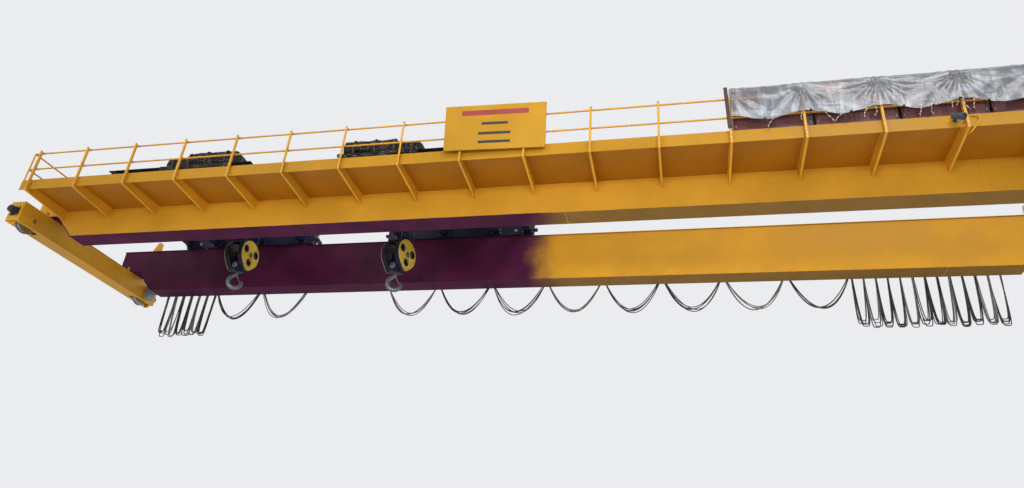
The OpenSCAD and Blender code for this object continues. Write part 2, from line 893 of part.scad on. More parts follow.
// Gearbox at the drum's outer end with the motor beside the drum
module hoist_drive(side) {
    gear_t = 300;
    gear_x = cross_x[0] + cross_w / 2 + drum_gap + drum_l + drum_rim + drum_boss + seat;
    motor_y = 760;
    motor_d = 380;
    motor_l = 720;
    fins = 20;
    split = 24;
    color(grey)
        at_trolley(side)
            translate([gear_x, 0, drum_z]) {
                rotate([90, 0, 90]) linear_extrude(gear_t) rotate(90)
                    drop(320, 230, motor_y);
                translate([gear_t / 2 - split / 2, 0, 0])
                    rotate([90, 0, 90]) linear_extrude(split) rotate(90)
                        drop(350, 260, motor_y);
                block([30, -280, cross_top - drum_z], [gear_t - 30, 280, 0]);
                translate([-motor_l / 2, motor_y, 0]) {
                    rod_x(motor_d, motor_l + 2);
                    for (i = [0:fins - 1])
                        rotate([360 / fins * (i + 0.5), 0, 0])
                            block([-motor_l / 2 + 120, -5, motor_d / 2 - 10],
                                [motor_l / 2 - 60, 5, motor_d / 2 + 26]);
                    translate([-motor_l / 2 + 50, 0, 0]) rod_x(motor_d + 50, 100);
                }
                translate([gear_t + 60, motor_y, 0]) rod_x(300, 122);
            }
}

// Sheave profile: hub, web and a rim with a round rope groove
module sheave(pitch_r, bore_r, hub_r, w) {
    rim = 60;
    groove = rope_d / 2 + 0.95;
    outer = pitch_r + 1.5 * rope_d;
    inner = pitch_r - rope_d / 2 - rim / 4;
    half = w / 2;
    web = 12;
    flank = 1.7 * rope_d;
    side = 2 * rope_d;
    low = [
        [bore_r, -half], [hub_r, -half], [hub_r, -web], [inner - rim / 4, -web],
        [inner, -side], [outer, -side], [outer, -flank]
    ];
    arc = [for (a = [-75:15:75]) [pitch_r - groove * cos(a), groove * sin(a)]];
    high = [for (i = [len(low) - 1:-1:0]) [low[i].x, -low[i].y]];
    rotate_extrude($fn = fine) polygon(concat(low, arc, high));
}

// Sheave between two plates that span from beam to beam
module equaliser(side) {
    pin_d = 60;
    plate_t = 16;
    plate_gap = 90;
    hub = 80;
    pad_w = 120;
    pad_t = 12;
    x0 = cross_x[0] + cross_w / 2 + seat;
    x1 = cross_x[1] - cross_w / 2 - seat;
    color(steel)
        at_trolley(side)
            translate([0, -sheave_d / 2, 0]) {
                translate([hook_local, 0, equal_z]) rotate([90, 0, 0]) {
                    sheave(equal_d / 2, pin_d / 2 + bore_gap, pin_d, hub);
                    cylinder(d = pin_d, h = plate_gap + 2 * plate_t + 30, center = true,
                        $fn = fine);
                }
                for (s = [-1, 1])
                    translate([0, s * (plate_gap + plate_t) / 2, 0]) difference() {
                        union() {
                            block([x0, -plate_t / 2, cross_z + 40],
                                [x1, plate_t / 2, cross_top - 20]);
                            for (x = [x0, x1 - pad_t])
                                block([x, -plate_t / 2 - (s < 0 ? pad_w - plate_t : 0),
                                    cross_z + 40],
                                    [x + pad_t, plate_t / 2 + (s > 0 ? pad_w - plate_t : 0),
                                    cross_top - 20]);
                            translate([hook_local, 0, equal_z]) rod_y(pin_d + 90, plate_t);
                        }
                        translate([hook_local, 0, equal_z])
                            rod_y(pin_d + 2 * bore_gap, plate_t + through);
                    }
            }
}

// Machinery under a tied black cover on the outer deck
module wrapped_drive(side) {
    low = beam_top + deck_t + seat;
    mid_y = -girder_gauge / 2 - wrap_w * 0.19;
    end_l = wrap_l - wrap_main;
    main = [[-0.49, 0], [0.49, 0], [0.5, 0.58], [0.35, 0.91], [0.08, 1], [-0.25, 0.98],
        [-0.46, 0.75], [-0.5, 0.35]];
    small = [[-0.44, 0], [0.44, 0], [0.46, 0.46], [0.25, 0.72], [-0.21, 0.75], [-0.42, 0.58]];
    color(dark)
        at_trolley(side)
            translate([wrap_x + (side < 0 ? left_wrap_shift : 0), mid_y, low]) {
                translate([wrap_main / 2, 0, 0])
                    bar_x([for (p = main) [p.x * wrap_w, p.y * wrap_h]], wrap_main);
                translate([wrap_main + end_l / 2, 0, 0])
                    bar_x([for (p = small) [p.x * wrap_w, p.y * wrap_h]], end_l + 2);
            }
}

// HOOK BLOCKS

function block_z(side) = side > 0 ? right_block_z : left_block_z;
function block_turn(side) = side > 0 ? right_turn : left_turn;
function hook_x(side) = trolley_x(side) + side * hook_local;
function turned(p, a) = [p.x * cos(a) - p.y * sin(a), p.x * sin(a) + p.y * cos(a)];

guard_w = 145;
guard_out = sheave_gap / 2 + guard_w / 2 + 8;
cheek_t = 12;
cheek_x = sheave_gap / 2 - 83;
head_top = -250;
head_low = -510;
drop_d = 300;
drop_r = 190;

module at_block(side) {
    translate([hook_x(side), 0, block_z(side)]) rotate([0, 0, block_turn(side)]) children();
}

// Places an outline drawn in Y and Z at x, with thickness t towards +X
module facing_x(x, t) {
    translate([x, 0, 0]) rotate([90, 0, 90]) linear_extrude(t) children();
}

// Dished cover over each sheave, open towards the middle, slotted for the ropes
module block_guards(side) {
    slot = 90;
    inner_x = guard_out - guard_w;
    color(yellow)
        at_block(side)
            for (s = [0, 1])
                mirror([s, 0, 0])
                    difference() {
                        facing_x(inner_x, guard_w) drop(guard_r, drop_r, drop_d);
                        facing_x(inner_x - through, guard_w - guard_t + through)
                            drop(guard_r - guard_t, drop_r - guard_t, drop_d);
                        for (y = [-1, 1])
                            translate([0, y * sheave_d / 2, 0])
                                block([inner_x - through, -slot / 2, 100],
                                    [guard_out - guard_t, slot / 2, guard_r]);
                        for (a = [20, 160, 270])
                            facing_x(guard_out - 2 * guard_t, 3 * guard_t)
                                translate([cos(a), sin(a)] * guard_r * 0.62)
                                    circle(r = guard_hole_r, $fn = fine);
                    }
}

module block_sheaves(side) {
    color(steel)
        at_block(side)
            for (s = [-1, 1])
                translate([s * sheave_gap / 2, 0, 0]) rotate([0, 90, 0])
                    sheave(sheave_d / 2, 50 + bore_gap, 90, 100);
}

// Cheek plates, axle and the crosshead that carries the hook
module block_body(side) {
    head_y = 150;
    nut_bore = shank_d / 2 + bore_gap;
    color(navy)
        at_block(side) {
            difference() {
                union() {
                    for (s = [0, 1])
                        mirror([s, 0, 0])
                            facing_x(cheek_x, cheek_t) drop(130, 120, drop_d + 60);
                    block([-cheek_x - 1, -head_y, head_low], [cheek_x + 1, head_y, head_top]);
                    translate([0, 0, head_low - 20]) cylinder(d = 200, h = 30, $fn = fine);
                    rod_x(100, 2 * (guard_out - guard_t));
                    translate([0, 0, (head_top + head_low) / 2]) rod_y(210, 2 * head_y + 70);
                }
                translate([0, 0, head_low - 50])
                    cylinder(r = nut_bore, h = head_top - head_low + 100, $fn = fine);
            }
        }
}

// Four falls: two to the drum and two to the equaliser sheave
module ropes(side) {
    fall = sheave_gap / 2;
    low_z = block_z(side);
    x = hook_x(side);
    a = block_turn(side);
    color(dark)
        for (sx = [-1, 1], sy = [-1, 1]) {
            low = turned([sx * fall, sy * sheave_d / 2], a);
            top_x = sy > 0 ? sx * fall : sx * equal_d / 2;
            top_z = sy > 0 ? drum_z : equal_z;
            rod_between([x + low.x, low.y, low_z],
                [x + top_x, sy * sheave_d / 2, top_z], rope_d);
        }
}

// HOOKS

bowl_z = head_low - 335;
neck_z = 1.65 * bowl_r;
neck_steps = 8;
bowl_steps = 22;
hook_sides = 16;
back_angle = 150;
tip_angle = 382;

function bezier(p, t) = pow(1 - t, 3) * p[0] + 3 * pow(1 - t, 2) * t * p[1]
    + 3 * (1 - t) * t * t * p[2] + pow(t, 3) * p[3];
function on_bowl(a) = bowl_r * [cos(a), sin(a)];
neck_curve = [
    [0, neck_z], [0, neck_z - 0.45 * bowl_r],
    on_bowl(back_angle) + 0.55 * bowl_r * [0.5, 0.866], on_bowl(back_angle)
];

// Centre line of the hook: s from 0 at the neck to 1 at the back, and on to 2 at the tip
function hook_point(s) = s < 1 ? bezier(neck_curve, s)
    : on_bowl(back_angle + (tip_angle - back_angle) * (s - 1));
// Half depth in the plane of the hook and half width across it
half_depth = [[0, shank_d / 2], [0.6, shank_d * 0.56], [1, bowl_depth * 0.43],
    [1.5, bowl_depth / 2], [1.75, bowl_depth * 0.42], [1.93, bowl_depth * 0.26],
    [1.98, bowl_depth * 0.17], [2, bowl_depth * 0.06]];
half_width = [[0, shank_d / 2], [1, bowl_depth * 0.37], [1.5, bowl_depth * 0.38],
    [1.75, bowl_depth * 0.34], [1.93, bowl_depth * 0.22], [1.98, bowl_depth * 0.14],
    [2, bowl_depth * 0.05]];
stations = concat([for (i = [0:neck_steps - 1]) i / neck_steps],
    [for (i = [0:bowl_steps - 1]) 1 + i / bowl_steps * 0.93], [1.96, 1.98, 1.993, 2]);

function hook_side(s) = let (d = hook_point(min(s + 0.01, 2)) - hook_point(max(s - 0.01, 0)))
    [-d.y, d.x] / norm(d);
function hook_ring(s) = let (c = hook_point(s), n = hook_side(s),
    a = lookup(s, half_depth), b = lookup(s, half_width))
    [for (k = [0:hook_sides - 1]) let (q = 360 * k / hook_sides)
        [c.x + n.x * a * cos(q), b * sin(q), c.y + n.y * a * cos(q)]];

function hook_turn(side) = side > 0 ? right_hook_turn : left_hook_turn;

module at_hook(side) {
    translate([hook_x(side), 0, block_z(side)]) rotate([0, 0, hook_turn(side)]) children();
}

// Forged hook swept along its centre line, with its shank and nut
module hook(side) {
    rings = [for (s = stations) each hook_ring(s)];
    n = hook_sides;
    last = len(stations) - 1;
    sides = [for (i = [0:last - 1], k = [0:n - 1])
        [i * n + k, i * n + (k + 1) % n, (i + 1) * n + (k + 1) % n, (i + 1) * n + k]];
    caps = [[for (k = [n - 1:-1:0]) k], [for (k = [0:n - 1]) last * n + k]];
    nut_h = 70;
    color(dark)
        at_hook(side) {
            translate([0, 0, bowl_z]) polyhedron(rings, concat(sides, caps));
            translate([0, 0, bowl_z + neck_z - 4])
                cylinder(d = shank_d, h = head_top + nut_h - bowl_z - neck_z + 24, $fn = fine);
            translate([0, 0, head_top + seat]) cylinder(d = 150, h = nut_h, $fn = 6);
        }
}

// Safety latch between the neck and the tip
module hook_latch(side) {
    pivot_d = 30;
    end_d = 18;
    w = 56;
    end_w = 40;
    plate_w = 32;
    plate_t = 8;
    s_top = 0.35;
    s_end = 1.93;
    top = hook_point(s_top) - hook_side(s_top)
        * -(lookup(s_top, half_depth) + pivot_d / 2 + seat);
    end = hook_point(s_end) + hook_side(s_end)
        * (lookup(s_end, half_depth) + end_d / 2 + seat);
    v = end - top;
    color(steel)
        at_hook(side)
            translate([0, 0, bowl_z]) {
                translate([top.x, 0, top.y]) rod_y(pivot_d, w);
                translate([end.x, 0, end.y]) rod_y(end_d, end_w);
                translate([top.x, 0, top.y]) rotate([0, -atan2(v.y, v.x), 0])
                    block([0, -plate_w / 2, -plate_t / 2], [norm(v), plate_w / 2, plate_t / 2]);
            }
}

// Pieces that stand on the bridge
color(yellow) girder_webs(front_y);  // front_girder_webs
color(yellow) girder_flanges(front_y);  // front_girder_flanges
color(yellow) girder_webs(rear_y);  // rear_girder_webs
color(yellow) girder_flanges(rear_y);  // rear_girder_flanges
girder_end_plates();
trolley_rails();
trolley_end_stops();
end_carriages();
carriage_buffers();
bridge_wheels();
bridge_drives();
walkway_floor();
walkway_edge();
walkway_brackets();
handrail_posts();
handrail_rails();
sign_board();
sign_arms();
walkway_cabinets();
cover_sheet();
walkway_lamp();
festoon_track();
festoon(1);  // right_festoon
festoon(-1);  // left_festoon

// Pieces of the right trolley
trolley_side_beams(1);  // right_trolley_side_beams
trolley_cross_beams(1);  // right_trolley_cross_beams
trolley_deck(1);  // right_trolley_deck
trolley_wheels(1);  // right_trolley_wheels
trolley_buffers(1);  // right_trolley_buffers
tow_arm(1);  // right_tow_arm
hoist_drum(1);  // right_hoist_drum
hoist_drive(1);  // right_hoist_drive
equaliser(1);  // right_equaliser
wrapped_drive(1);  // right_wrapped_drive
ropes(1);  // right_ropes
block_guards(1);  // right_block_guards
block_sheaves(1);  // right_block_sheaves
block_body(1);  // right_block_body
hook(1);  // right_hook
hook_latch(1);  // right_hook_latch

// Pieces of the left trolley
trolley_side_beams(-1);  // left_trolley_side_beams
trolley_cross_beams(-1);  // left_trolley_cross_beams
trolley_deck(-1);  // left_trolley_deck
trolley_wheels(-1);  // left_trolley_wheels
trolley_buffers(-1);  // left_trolley_buffers
tow_arm(-1);  // left_tow_arm
hoist_drum(-1);  // left_hoist_drum
hoist_drive(-1);  // left_hoist_drive
equaliser(-1);  // left_equaliser
wrapped_drive(-1);  // left_wrapped_drive
ropes(-1);  // left_ropes
block_guards(-1);  // left_block_guards
block_sheaves(-1);  // left_block_sheaves
block_body(-1);  // left_block_body
hook(-1);  // left_hook
hook_latch(-1);  // left_hook_latch
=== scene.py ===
"""Finish of a double girder overhead travelling crane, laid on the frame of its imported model.

X runs along the girders, Y along the runway and Z up, in metres, from the middle of the span
at the height of the runway rail heads.
"""

import math

import bmesh
import bpy
import numpy as np
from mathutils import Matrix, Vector


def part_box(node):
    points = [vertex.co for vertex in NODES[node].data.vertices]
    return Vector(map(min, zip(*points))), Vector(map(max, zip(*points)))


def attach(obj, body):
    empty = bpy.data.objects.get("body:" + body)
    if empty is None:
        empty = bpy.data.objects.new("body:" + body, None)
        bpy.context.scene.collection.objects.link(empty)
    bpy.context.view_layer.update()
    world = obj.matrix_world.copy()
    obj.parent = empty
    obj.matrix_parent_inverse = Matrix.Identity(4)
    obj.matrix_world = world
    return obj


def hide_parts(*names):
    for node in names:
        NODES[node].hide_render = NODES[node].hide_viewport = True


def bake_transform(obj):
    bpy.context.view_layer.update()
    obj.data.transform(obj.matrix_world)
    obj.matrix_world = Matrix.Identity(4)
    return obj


bl_info = {
    "name": "Overhead crane finish",
    "version": (1, 0, 0),
    "blender": (4, 5, 0),
    "location": "3D View > Sidebar > Crane",
    "description": "Surfaces, fittings, ropes, cables and covers of a double girder overhead crane",
    "category": "Object",
}

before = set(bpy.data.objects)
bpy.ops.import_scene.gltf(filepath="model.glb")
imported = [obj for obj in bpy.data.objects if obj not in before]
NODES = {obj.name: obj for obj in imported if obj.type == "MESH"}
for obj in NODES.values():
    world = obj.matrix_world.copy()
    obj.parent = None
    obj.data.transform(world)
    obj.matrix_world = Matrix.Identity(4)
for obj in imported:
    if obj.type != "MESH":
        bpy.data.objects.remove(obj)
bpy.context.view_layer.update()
SIDES = {"right": 1.0, "left": -1.0}


def middle(node):
    """Middle of a node's box."""
    low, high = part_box(node)
    return (low + high) / 2


# Levels and lines of the frame that the fittings are set out from
GIRDER_Y = 1.765
GIRDER_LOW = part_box("front_girder_webs")[0].z - 0.014
GIRDER_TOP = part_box("front_girder_flanges")[1].z
GIRDER_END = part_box("front_girder_flanges")[1].x
# Places of the upright seams along each girder
SEAMS = {"front": (10.41, -1.485), "rear": (10.575,)}
CARRIAGE_X, CARRIAGE_TOP = 13.5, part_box("end_carriages")[1].z
WHEEL_Y, WHEEL_Z = 2.45, 0.315
WALK_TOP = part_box("walkway_floor")[1].z
BAY = 1.5
POSTS = (np.arange(18) - 8.5) * BAY
POST_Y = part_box("handrail_posts")[0].y
TUBE_Y = -3.404
RAILS_Z = (1.880, 1.374)
TROLLEY_END, AXLE_Z = 2.25, 1.7053
DRUM_Z = middle("right_hoist_drum").z
MOTOR_Y = 0.76
TRACK_Y = middle("festoon_track").y
HOOK_DROP = 0.845
# How far each hook block is turned about its ropes, and each hook about its shank
TURNS = {"right": math.radians(-13.0), "left": math.radians(-2.0)}
HOOK_TURNS = {"right": math.radians(24.0), "left": math.radians(36.0)}
# Directions along the girders, across them and up
ALONG, ACROSS, UP = np.eye(3)


# Sizes and colours that a user would change

def size_property(name, description, default, low, high):
    return bpy.props.FloatProperty(name=name, description=description, default=default,
                                   min=low, max=high, unit="LENGTH")


def colour_property(name, description, default):
    return bpy.props.FloatVectorProperty(name=name, description=description, default=default,
                                         subtype="COLOR", size=3, min=0, max=1)


class CraneSizes(bpy.types.PropertyGroup):
    """Sizes of the fittings that are added to the frame."""

    bolt: size_property("Bolt", "Width across the flats of a girder bolt", 0.036, 0.018, 0.06)
    weld: size_property("Weld leg", "Leg of the fillet welds along the girders",
                        0.009, 0.004, 0.02)
    rope: size_property("Rope", "Diameter of the hoist rope", 0.020, 0.014, 0.024)
    strands: bpy.props.IntProperty(
        name="Strands", description="Strands laid round the core of a hoist rope",
        default=6, min=5, max=8)
    cable: size_property("Cable", "Diameter of one cable of the festoon", 0.026, 0.012, 0.027)
    crease: size_property("Crease depth", "Depth of the creases in the clear cover",
                          0.030, 0.0, 0.06)
    crumple: size_property("Crumple depth", "Depth of the folds in the black covers",
                           0.040, 0.0, 0.08)


class CraneColours(bpy.types.PropertyGroup):
    """Colours of the crane's paints, covers and floor."""

    yellow: colour_property("Yellow", "Top coat of the bridge", (0.70, 0.345, 0.022))
    # Maroon: painted shade where it shows along the girders' left halves, and the primer under the
    # handrail's chips
    maroon: colour_property("Maroon", "Red primer that the top coat doesn't cover yet",
                            (0.062, 0.005, 0.034))
    # Tan: painted shade on the flanges' faces that look down
    tan: colour_property("Tan", "Thin coat under the lower flanges", (0.31, 0.165, 0.034))
    navy: colour_property("Navy", "Paint of the trolleys and blocks", (0.010, 0.014, 0.045))
    guard: colour_property("Guard yellow", "Paint of the sheave guards", (0.66, 0.46, 0.055))
    clear_film: colour_property("Clear film", "Tint of the clear cover", (0.30, 0.335, 0.375))
    floor: colour_property("Floor", "Colour of the floor", (0.80, 0.80, 0.79))


# Shader expressions

class Wire:
    """One output of a shader node; sums, differences and products of wires add Math nodes."""

    def __init__(self, finish, socket):
        self.finish, self.socket = finish, socket

    def math(self, operation, *others):
        values = dict(enumerate((self,) + others))
        return self.finish.node("ShaderNodeMath", {"operation": operation}, values)

    def __add__(self, other):
        return self.math("ADD", other)

    def __sub__(self, other):
        return self.math("SUBTRACT", other)

    def __rsub__(self, other):
        return self.finish.node("ShaderNodeMath", {"operation": "SUBTRACT"}, {0: other, 1: self})

    def __mul__(self, other):
        return self.math("MULTIPLY", other)

    def __abs__(self):
        return self.math("ABSOLUTE")

    def low(self, other):
        return self.math("MINIMUM", other)

    def high(self, other):
        return self.math("MAXIMUM", other)

    def ramp(self, start, end, low=0.0, high=1.0):
        """Rises smoothly from low at start to high at end, and stays level outside."""
        return self.finish.node(
            "ShaderNodeMapRange", {"interpolation_type": "SMOOTHSTEP"},
            {"Value": self, "From Min": start, "From Max": end, "To Min": low, "To Max": high})


class Finish:
    """A material that is being built from nodes."""

    def __init__(self, name):
        self.material = bpy.data.materials.new(name)
        self.material.use_nodes = True
        self.tree = self.material.node_tree
        self.tree.nodes.clear()
        place = self.tree.nodes.new("ShaderNodeTexCoord")
        self.place = Wire(self, place.outputs["Object"])
        parts = self.tree.nodes.new("ShaderNodeSeparateXYZ")
        self.tree.links.new(place.outputs["Object"], parts.inputs[0])
        self.x, self.y, self.z = (Wire(self, parts.outputs[k]) for k in range(3))

    def node(self, kind, settings=None, inputs=None, output=0):
        """Adds a node: its settings first, then each socket's value or wire."""
        made = self.tree.nodes.new(kind)
        for key, value in (settings or {}).items():
            setattr(made, key, value)
        for key, value in (inputs or {}).items():
            if isinstance(value, Wire):
                self.tree.links.new(value.socket, made.inputs[key])
            else:
                made.inputs[key].default_value = value
        return Wire(self, made.outputs[output])

    def stretched(self, x, y, z):
        """Object coordinates with each axis multiplied by its own factor."""
        return self.node("ShaderNodeVectorMath", {"operation": "MULTIPLY"},
                         {0: self.place, 1: (x, y, z)})

    def noise(self, scale, detail=3.0, rough=0.5, at=None, warp=0.0):
        return self.node("ShaderNodeTexNoise", {"noise_dimensions": "3D"},
                         {"Vector": at or self.place, "Scale": scale, "Detail": detail,
                          "Roughness": rough, "Distortion": warp})

    def mix(self, amount, first, second):
        """Colour that goes from first to second as the amount goes from 0 to 1."""
        first, second = (c if isinstance(c, Wire) else (*c[:3], 1.0) for c in (first, second))
        return self.node("ShaderNodeMix", {"data_type": "RGBA"},
                         {0: amount, 6: first, 7: second}, 2)

    def shades(self, amount, colour, dark, light):
        """A colour that goes from one shade of itself to another as the amount grows."""
        return self.mix(amount, shade(colour, dark), shade(colour, light))

    def normal_z(self):
        """How far the surface faces up, from -1 to 1."""
        normal = self.node("ShaderNodeNewGeometry", output="Normal")
        return self.node("ShaderNodeSeparateXYZ", inputs={0: normal}, output=2)

    def bump(self, height, distance, strength=1.0):
        return self.node("ShaderNodeBump", inputs={"Height": height, "Distance": distance,
                                                   "Strength": strength})

    def shader(self, colour, rough, metal=0.0, **more):
        """Principled shader; further sockets go by name, with _ for a space."""
        inputs = {"Base Color": colour, "Roughness": rough, "Metallic": metal}
        inputs.update({key.replace("_", " "): value for key, value in more.items()})
        return self.node("ShaderNodeBsdfPrincipled", inputs=inputs)

    def done(self, shader):
        out = self.tree.nodes.new("ShaderNodeOutputMaterial")
        self.tree.links.new(shader.socket, out.inputs["Surface"])
        return self.material


def shade(colour, factor):
    """A colour made darker or lighter by a factor."""
    return tuple(min(1.0, c * factor) for c in colour[:3])


def paint(name, colour, painted_shade=None, bare=None, seams=(), under=None, gloss=0.42,
          dirt=0.35, sheen=0.30):
    """Sprayed paint: cloudy tone, runs, dust on top, grime, seams where plates were joined.

    The third argument, (colour, start, end), is a red zone of painted shade along X before the
    top coat's colour sets in; under = colour of the faces that look down, painted shade;
    bare = colour under the chips; seams = places of welds on X.
    """
    f = Finish(name)
    cloud = f.noise(0.55, 4.0, 0.6)
    runs = f.noise(1.0, 3.0, 0.6, at=f.stretched(5.0, 5.0, 0.35), warp=0.4)
    fine = f.noise(38.0, 4.0, 0.65)
    tone = f.shades(cloud.ramp(0.35, 0.68), colour, 0.88, 1.05)
    tone = f.mix(runs.ramp(0.52, 0.78) * (0.14 * dirt), tone, shade(colour, 0.5))
    # Faces that look down take the under colour: painted shade
    if under:
        down = (f.normal_z() * -1.0).ramp(0.55, 0.85)
        under_shade = f.shades(f.noise(1.3, 5.0, 0.7).ramp(0.3, 0.7), under, 0.86, 1.0)
        tone = f.mix(down, tone, under_shade)
    # A darker red zone along X that gives way to the top coat between start and end: painted shade;
    # cover is how far the top coat's colour has taken over
    if painted_shade:
        shown, start, end = painted_shade
        drift = f.noise(0.9, 3.0, 0.55) * 1.3 + f.noise(14.0, 2.0, 0.6) * 0.16 - 0.72
        cover = (f.x + drift).ramp(start, end)
        red = f.shades(f.noise(0.8, 5.0, 0.65).ramp(0.3, 0.72), shown, 0.72, 1.35)
        tone = f.mix(cover, red, tone)
    height = fine * 0.25 + f.noise(2.2, 2.0, 0.5)
    for seam in seams:
        line = abs(f.x - seam).ramp(0.006, 0.016, 1.0, 0.0)
        tone = f.mix(line * 0.45, tone, shade(colour, 1.25))
        height = height + line * 0.9
    dust = f.normal_z().ramp(0.6, 0.95) * f.noise(3.0, 5.0, 0.7).ramp(0.30, 0.62)
    tone = f.mix(dust * (1.1 * dirt), tone, (0.30, 0.27, 0.23))
    chip = f.noise(52.0, 6.0, 0.78, warp=0.6).ramp(0.715, 0.735) * f.noise(1.7, 2.0).ramp(0.5, 0.66)
    tone = f.mix(chip * (0.9 if bare else 0.35), tone, bare or shade(colour, 0.35))
    rough = cloud.ramp(0.3, 0.7, gloss - 0.05, gloss + 0.10) + dust * 0.3
    return f.done(f.shader(tone, rough, Normal=f.bump(height, 0.0035, 0.6),
                           Specular_IOR_Level=sheen))


def guard_paint(name, yellow, navy, centre, turn):
    """Sheave guard: yellow on its two outer discs; navy, darkened to 0.55 as painted shade, on its
    rim and inside; and between them a pale grey band along the edge, a painted highlight, patchy by
    rubbing. |(p - centre) . (cos turn, sin turn)| is the distance from the middle plane of the
    block."""
    f = Finish(name)
    out = abs((f.x - centre.x) * math.cos(turn) + (f.y - centre.y) * math.sin(turn))
    rub = f.noise(24.0, 5.0, 0.75)
    # Navy darkened to 0.55 on the rim and inside: painted shade
    tone = f.mix((out + rub * 0.012).ramp(0.2815, 0.2845), shade(navy, 0.55), yellow)
    # A pale grey band along the edge, patchy by rubbing: a painted highlight
    edge = out.ramp(0.272, 0.277) * out.ramp(0.281, 0.2845, 1.0, 0.0) * rub.ramp(0.36, 0.52)
    tone = f.mix(edge * 0.75, tone, (0.30, 0.30, 0.29))
    soot = f.noise(7.0, 5.0, 0.7)
    tone = f.mix(soot.ramp(0.50, 0.72) * 0.45, tone, (0.045, 0.035, 0.025))
    chip = f.noise(60.0, 6.0, 0.78, warp=0.6).ramp(0.68, 0.70)
    tone = f.mix(chip * 0.7, tone, (0.08, 0.045, 0.03))
    return f.done(f.shader(tone, soot.ramp(0.3, 0.7, 0.46, 0.64), Specular_IOR_Level=0.22,
                           Normal=f.bump(rub * 0.3 + soot - chip * 0.5, 0.003, 0.6)))


def worn_steel(name, colour, rust=0.35, rough=0.38, metal=1.0, grain=(60.0, 60.0, 60.0)):
    """Bare or greased steel: brushed tone, rust in patches and spots, and small dents."""
    f = Finish(name)
    patches = f.noise(2.6, 6.0, 0.7).ramp(0.52, 0.70)
    spots = f.noise(46.0, 5.0, 0.75).ramp(0.60, 0.68)
    red = f.mix(f.noise(17.0, 4.0).ramp(0.3, 0.7), (0.10, 0.035, 0.012), (0.26, 0.10, 0.035))
    share = (patches * 0.7 + spots * 0.5).low(1.0) * rust
    brushed = f.noise(1.0, 3.0, 0.6, at=f.stretched(*grain))
    tone = f.shades(brushed.ramp(0.3, 0.7), colour, 0.82, 1.12)
    tone = f.mix(share, tone, red)
    height = brushed * 0.2 + spots * 0.7 + f.noise(7.0, 3.0) * 0.6
    return f.done(f.shader(tone, brushed.ramp(0.3, 0.7, rough, rough + 0.14) + share * 0.35,
                           (1.0 - share) * metal, Normal=f.bump(height, 0.0014, 0.7)))


def clear_film(name, colour):
    """Thin clear film: grey where it lies flat, milky along its folds, dusty in patches."""
    f = Finish(name)
    folds = f.noise(1.0, 4.0, 0.58, at=f.stretched(1.5, 2.4, 2.4), warp=0.9)
    pulls = f.noise(1.0, 3.0, 0.55, at=f.stretched(7.0, 1.2, 1.2), warp=0.5)
    milk = (folds.ramp(0.40, 0.68) * 0.6 + pulls.ramp(0.48, 0.72) * 0.45).low(1.0)
    tone = f.shades(milk, colour, 0.72, 1.45)
    tone = f.mix(f.noise(1.4, 4.0).ramp(0.50, 0.72) * 0.55, tone, (0.34, 0.20, 0.15))
    height = folds + pulls * 0.4 + f.noise(26.0, 3.0) * 0.05
    film = f.shader(tone, folds.ramp(0.3, 0.7, 0.16, 0.32), Normal=f.bump(height, 0.03, 0.8),
                    Coat_Weight=0.3, Coat_Roughness=0.10,
                    Alpha=milk.ramp(0.0, 1.0, 0.60, 0.90))
    return f.done(film)


def black_film(name):
    """Black stretch film: glossy folds with brown dust on their upper sides, and pale lines painted
    along the crests of its pulls as highlights.
    """
    f = Finish(name)
    folds = f.noise(1.0, 5.0, 0.6, at=f.stretched(2.5, 7.0, 7.0), warp=1.6)
    lines = f.noise(1.0, 4.0, 0.7, at=f.stretched(6.0, 22.0, 22.0), warp=0.8)
    dust = f.normal_z().ramp(0.5, 0.95) * f.noise(8.0, 4.0, 0.7).ramp(0.42, 0.66)
    tone = f.mix(folds.ramp(0.35, 0.7), (0.0015, 0.0015, 0.002), (0.006, 0.0055, 0.005))
    tone = f.mix(dust * 0.16, tone, (0.13, 0.085, 0.045))
    pulls = f.noise(1.0, 3.0, 0.55, at=f.stretched(3.2, 10.0, 10.0), warp=1.3)
    # Pale lines along the crests of the pulls: painted highlights
    crest_highlight = pulls.ramp(0.470, 0.495) * (1.0 - pulls.ramp(0.495, 0.515))
    tone = f.mix(crest_highlight * 0.8, tone, (0.34, 0.30, 0.26))
    height = folds + lines * 0.35 + crest_highlight * 0.3
    return f.done(f.shader(tone, folds.ramp(0.3, 0.7, 0.16, 0.30) + dust * 0.2,
                           Normal=f.bump(height, 0.022, 1.0), Specular_IOR_Level=0.16))


def checker_deck(name, colour):
    """Painted tear plate: two crossed families of raised bars."""
    f = Finish(name)
    a = (f.x + f.y) * (math.pi / 0.028)
    b = (f.x - f.y) * (math.pi / 0.028)
    first = a.math("SINE").ramp(0.55, 0.9) * b.math("COSINE").ramp(-0.2, 0.5)
    second = b.math("SINE").ramp(0.55, 0.9) * a.math("COSINE").ramp(-0.2, 0.5)
    bars = first.high(second)
    dirt = f.noise(3.4, 5.0, 0.7)
    tone = f.shades(dirt.ramp(0.35, 0.7), colour, 0.8, 1.2)
    dust = f.normal_z().ramp(0.7, 0.95) * dirt.ramp(0.35, 0.6)
    tone = f.mix(dust * 0.22, tone, (0.20, 0.18, 0.15))
    return f.done(f.shader(tone, dirt.ramp(0.3, 0.7, 0.45, 0.68),
                           Normal=f.bump(bars, 0.0025, 0.8)))


def twisted_rope(name):
    """Greased wire rope: fine wires across the strands, dark in the valleys."""
    f = Finish(name)
    wires = f.noise(1.0, 2.0, 0.6, at=f.stretched(420.0, 420.0, 160.0))
    grease = f.noise(5.0, 4.0, 0.6)
    tone = f.mix(wires.ramp(0.35, 0.65), (0.035, 0.033, 0.031), (0.20, 0.19, 0.18))
    tone = f.mix(grease.ramp(0.45, 0.7) * 0.7, tone, (0.02, 0.017, 0.013))
    return f.done(f.shader(tone, grease.ramp(0.3, 0.7, 0.34, 0.55), 0.75,
                           Normal=f.bump(wires, 0.0006, 0.8)))


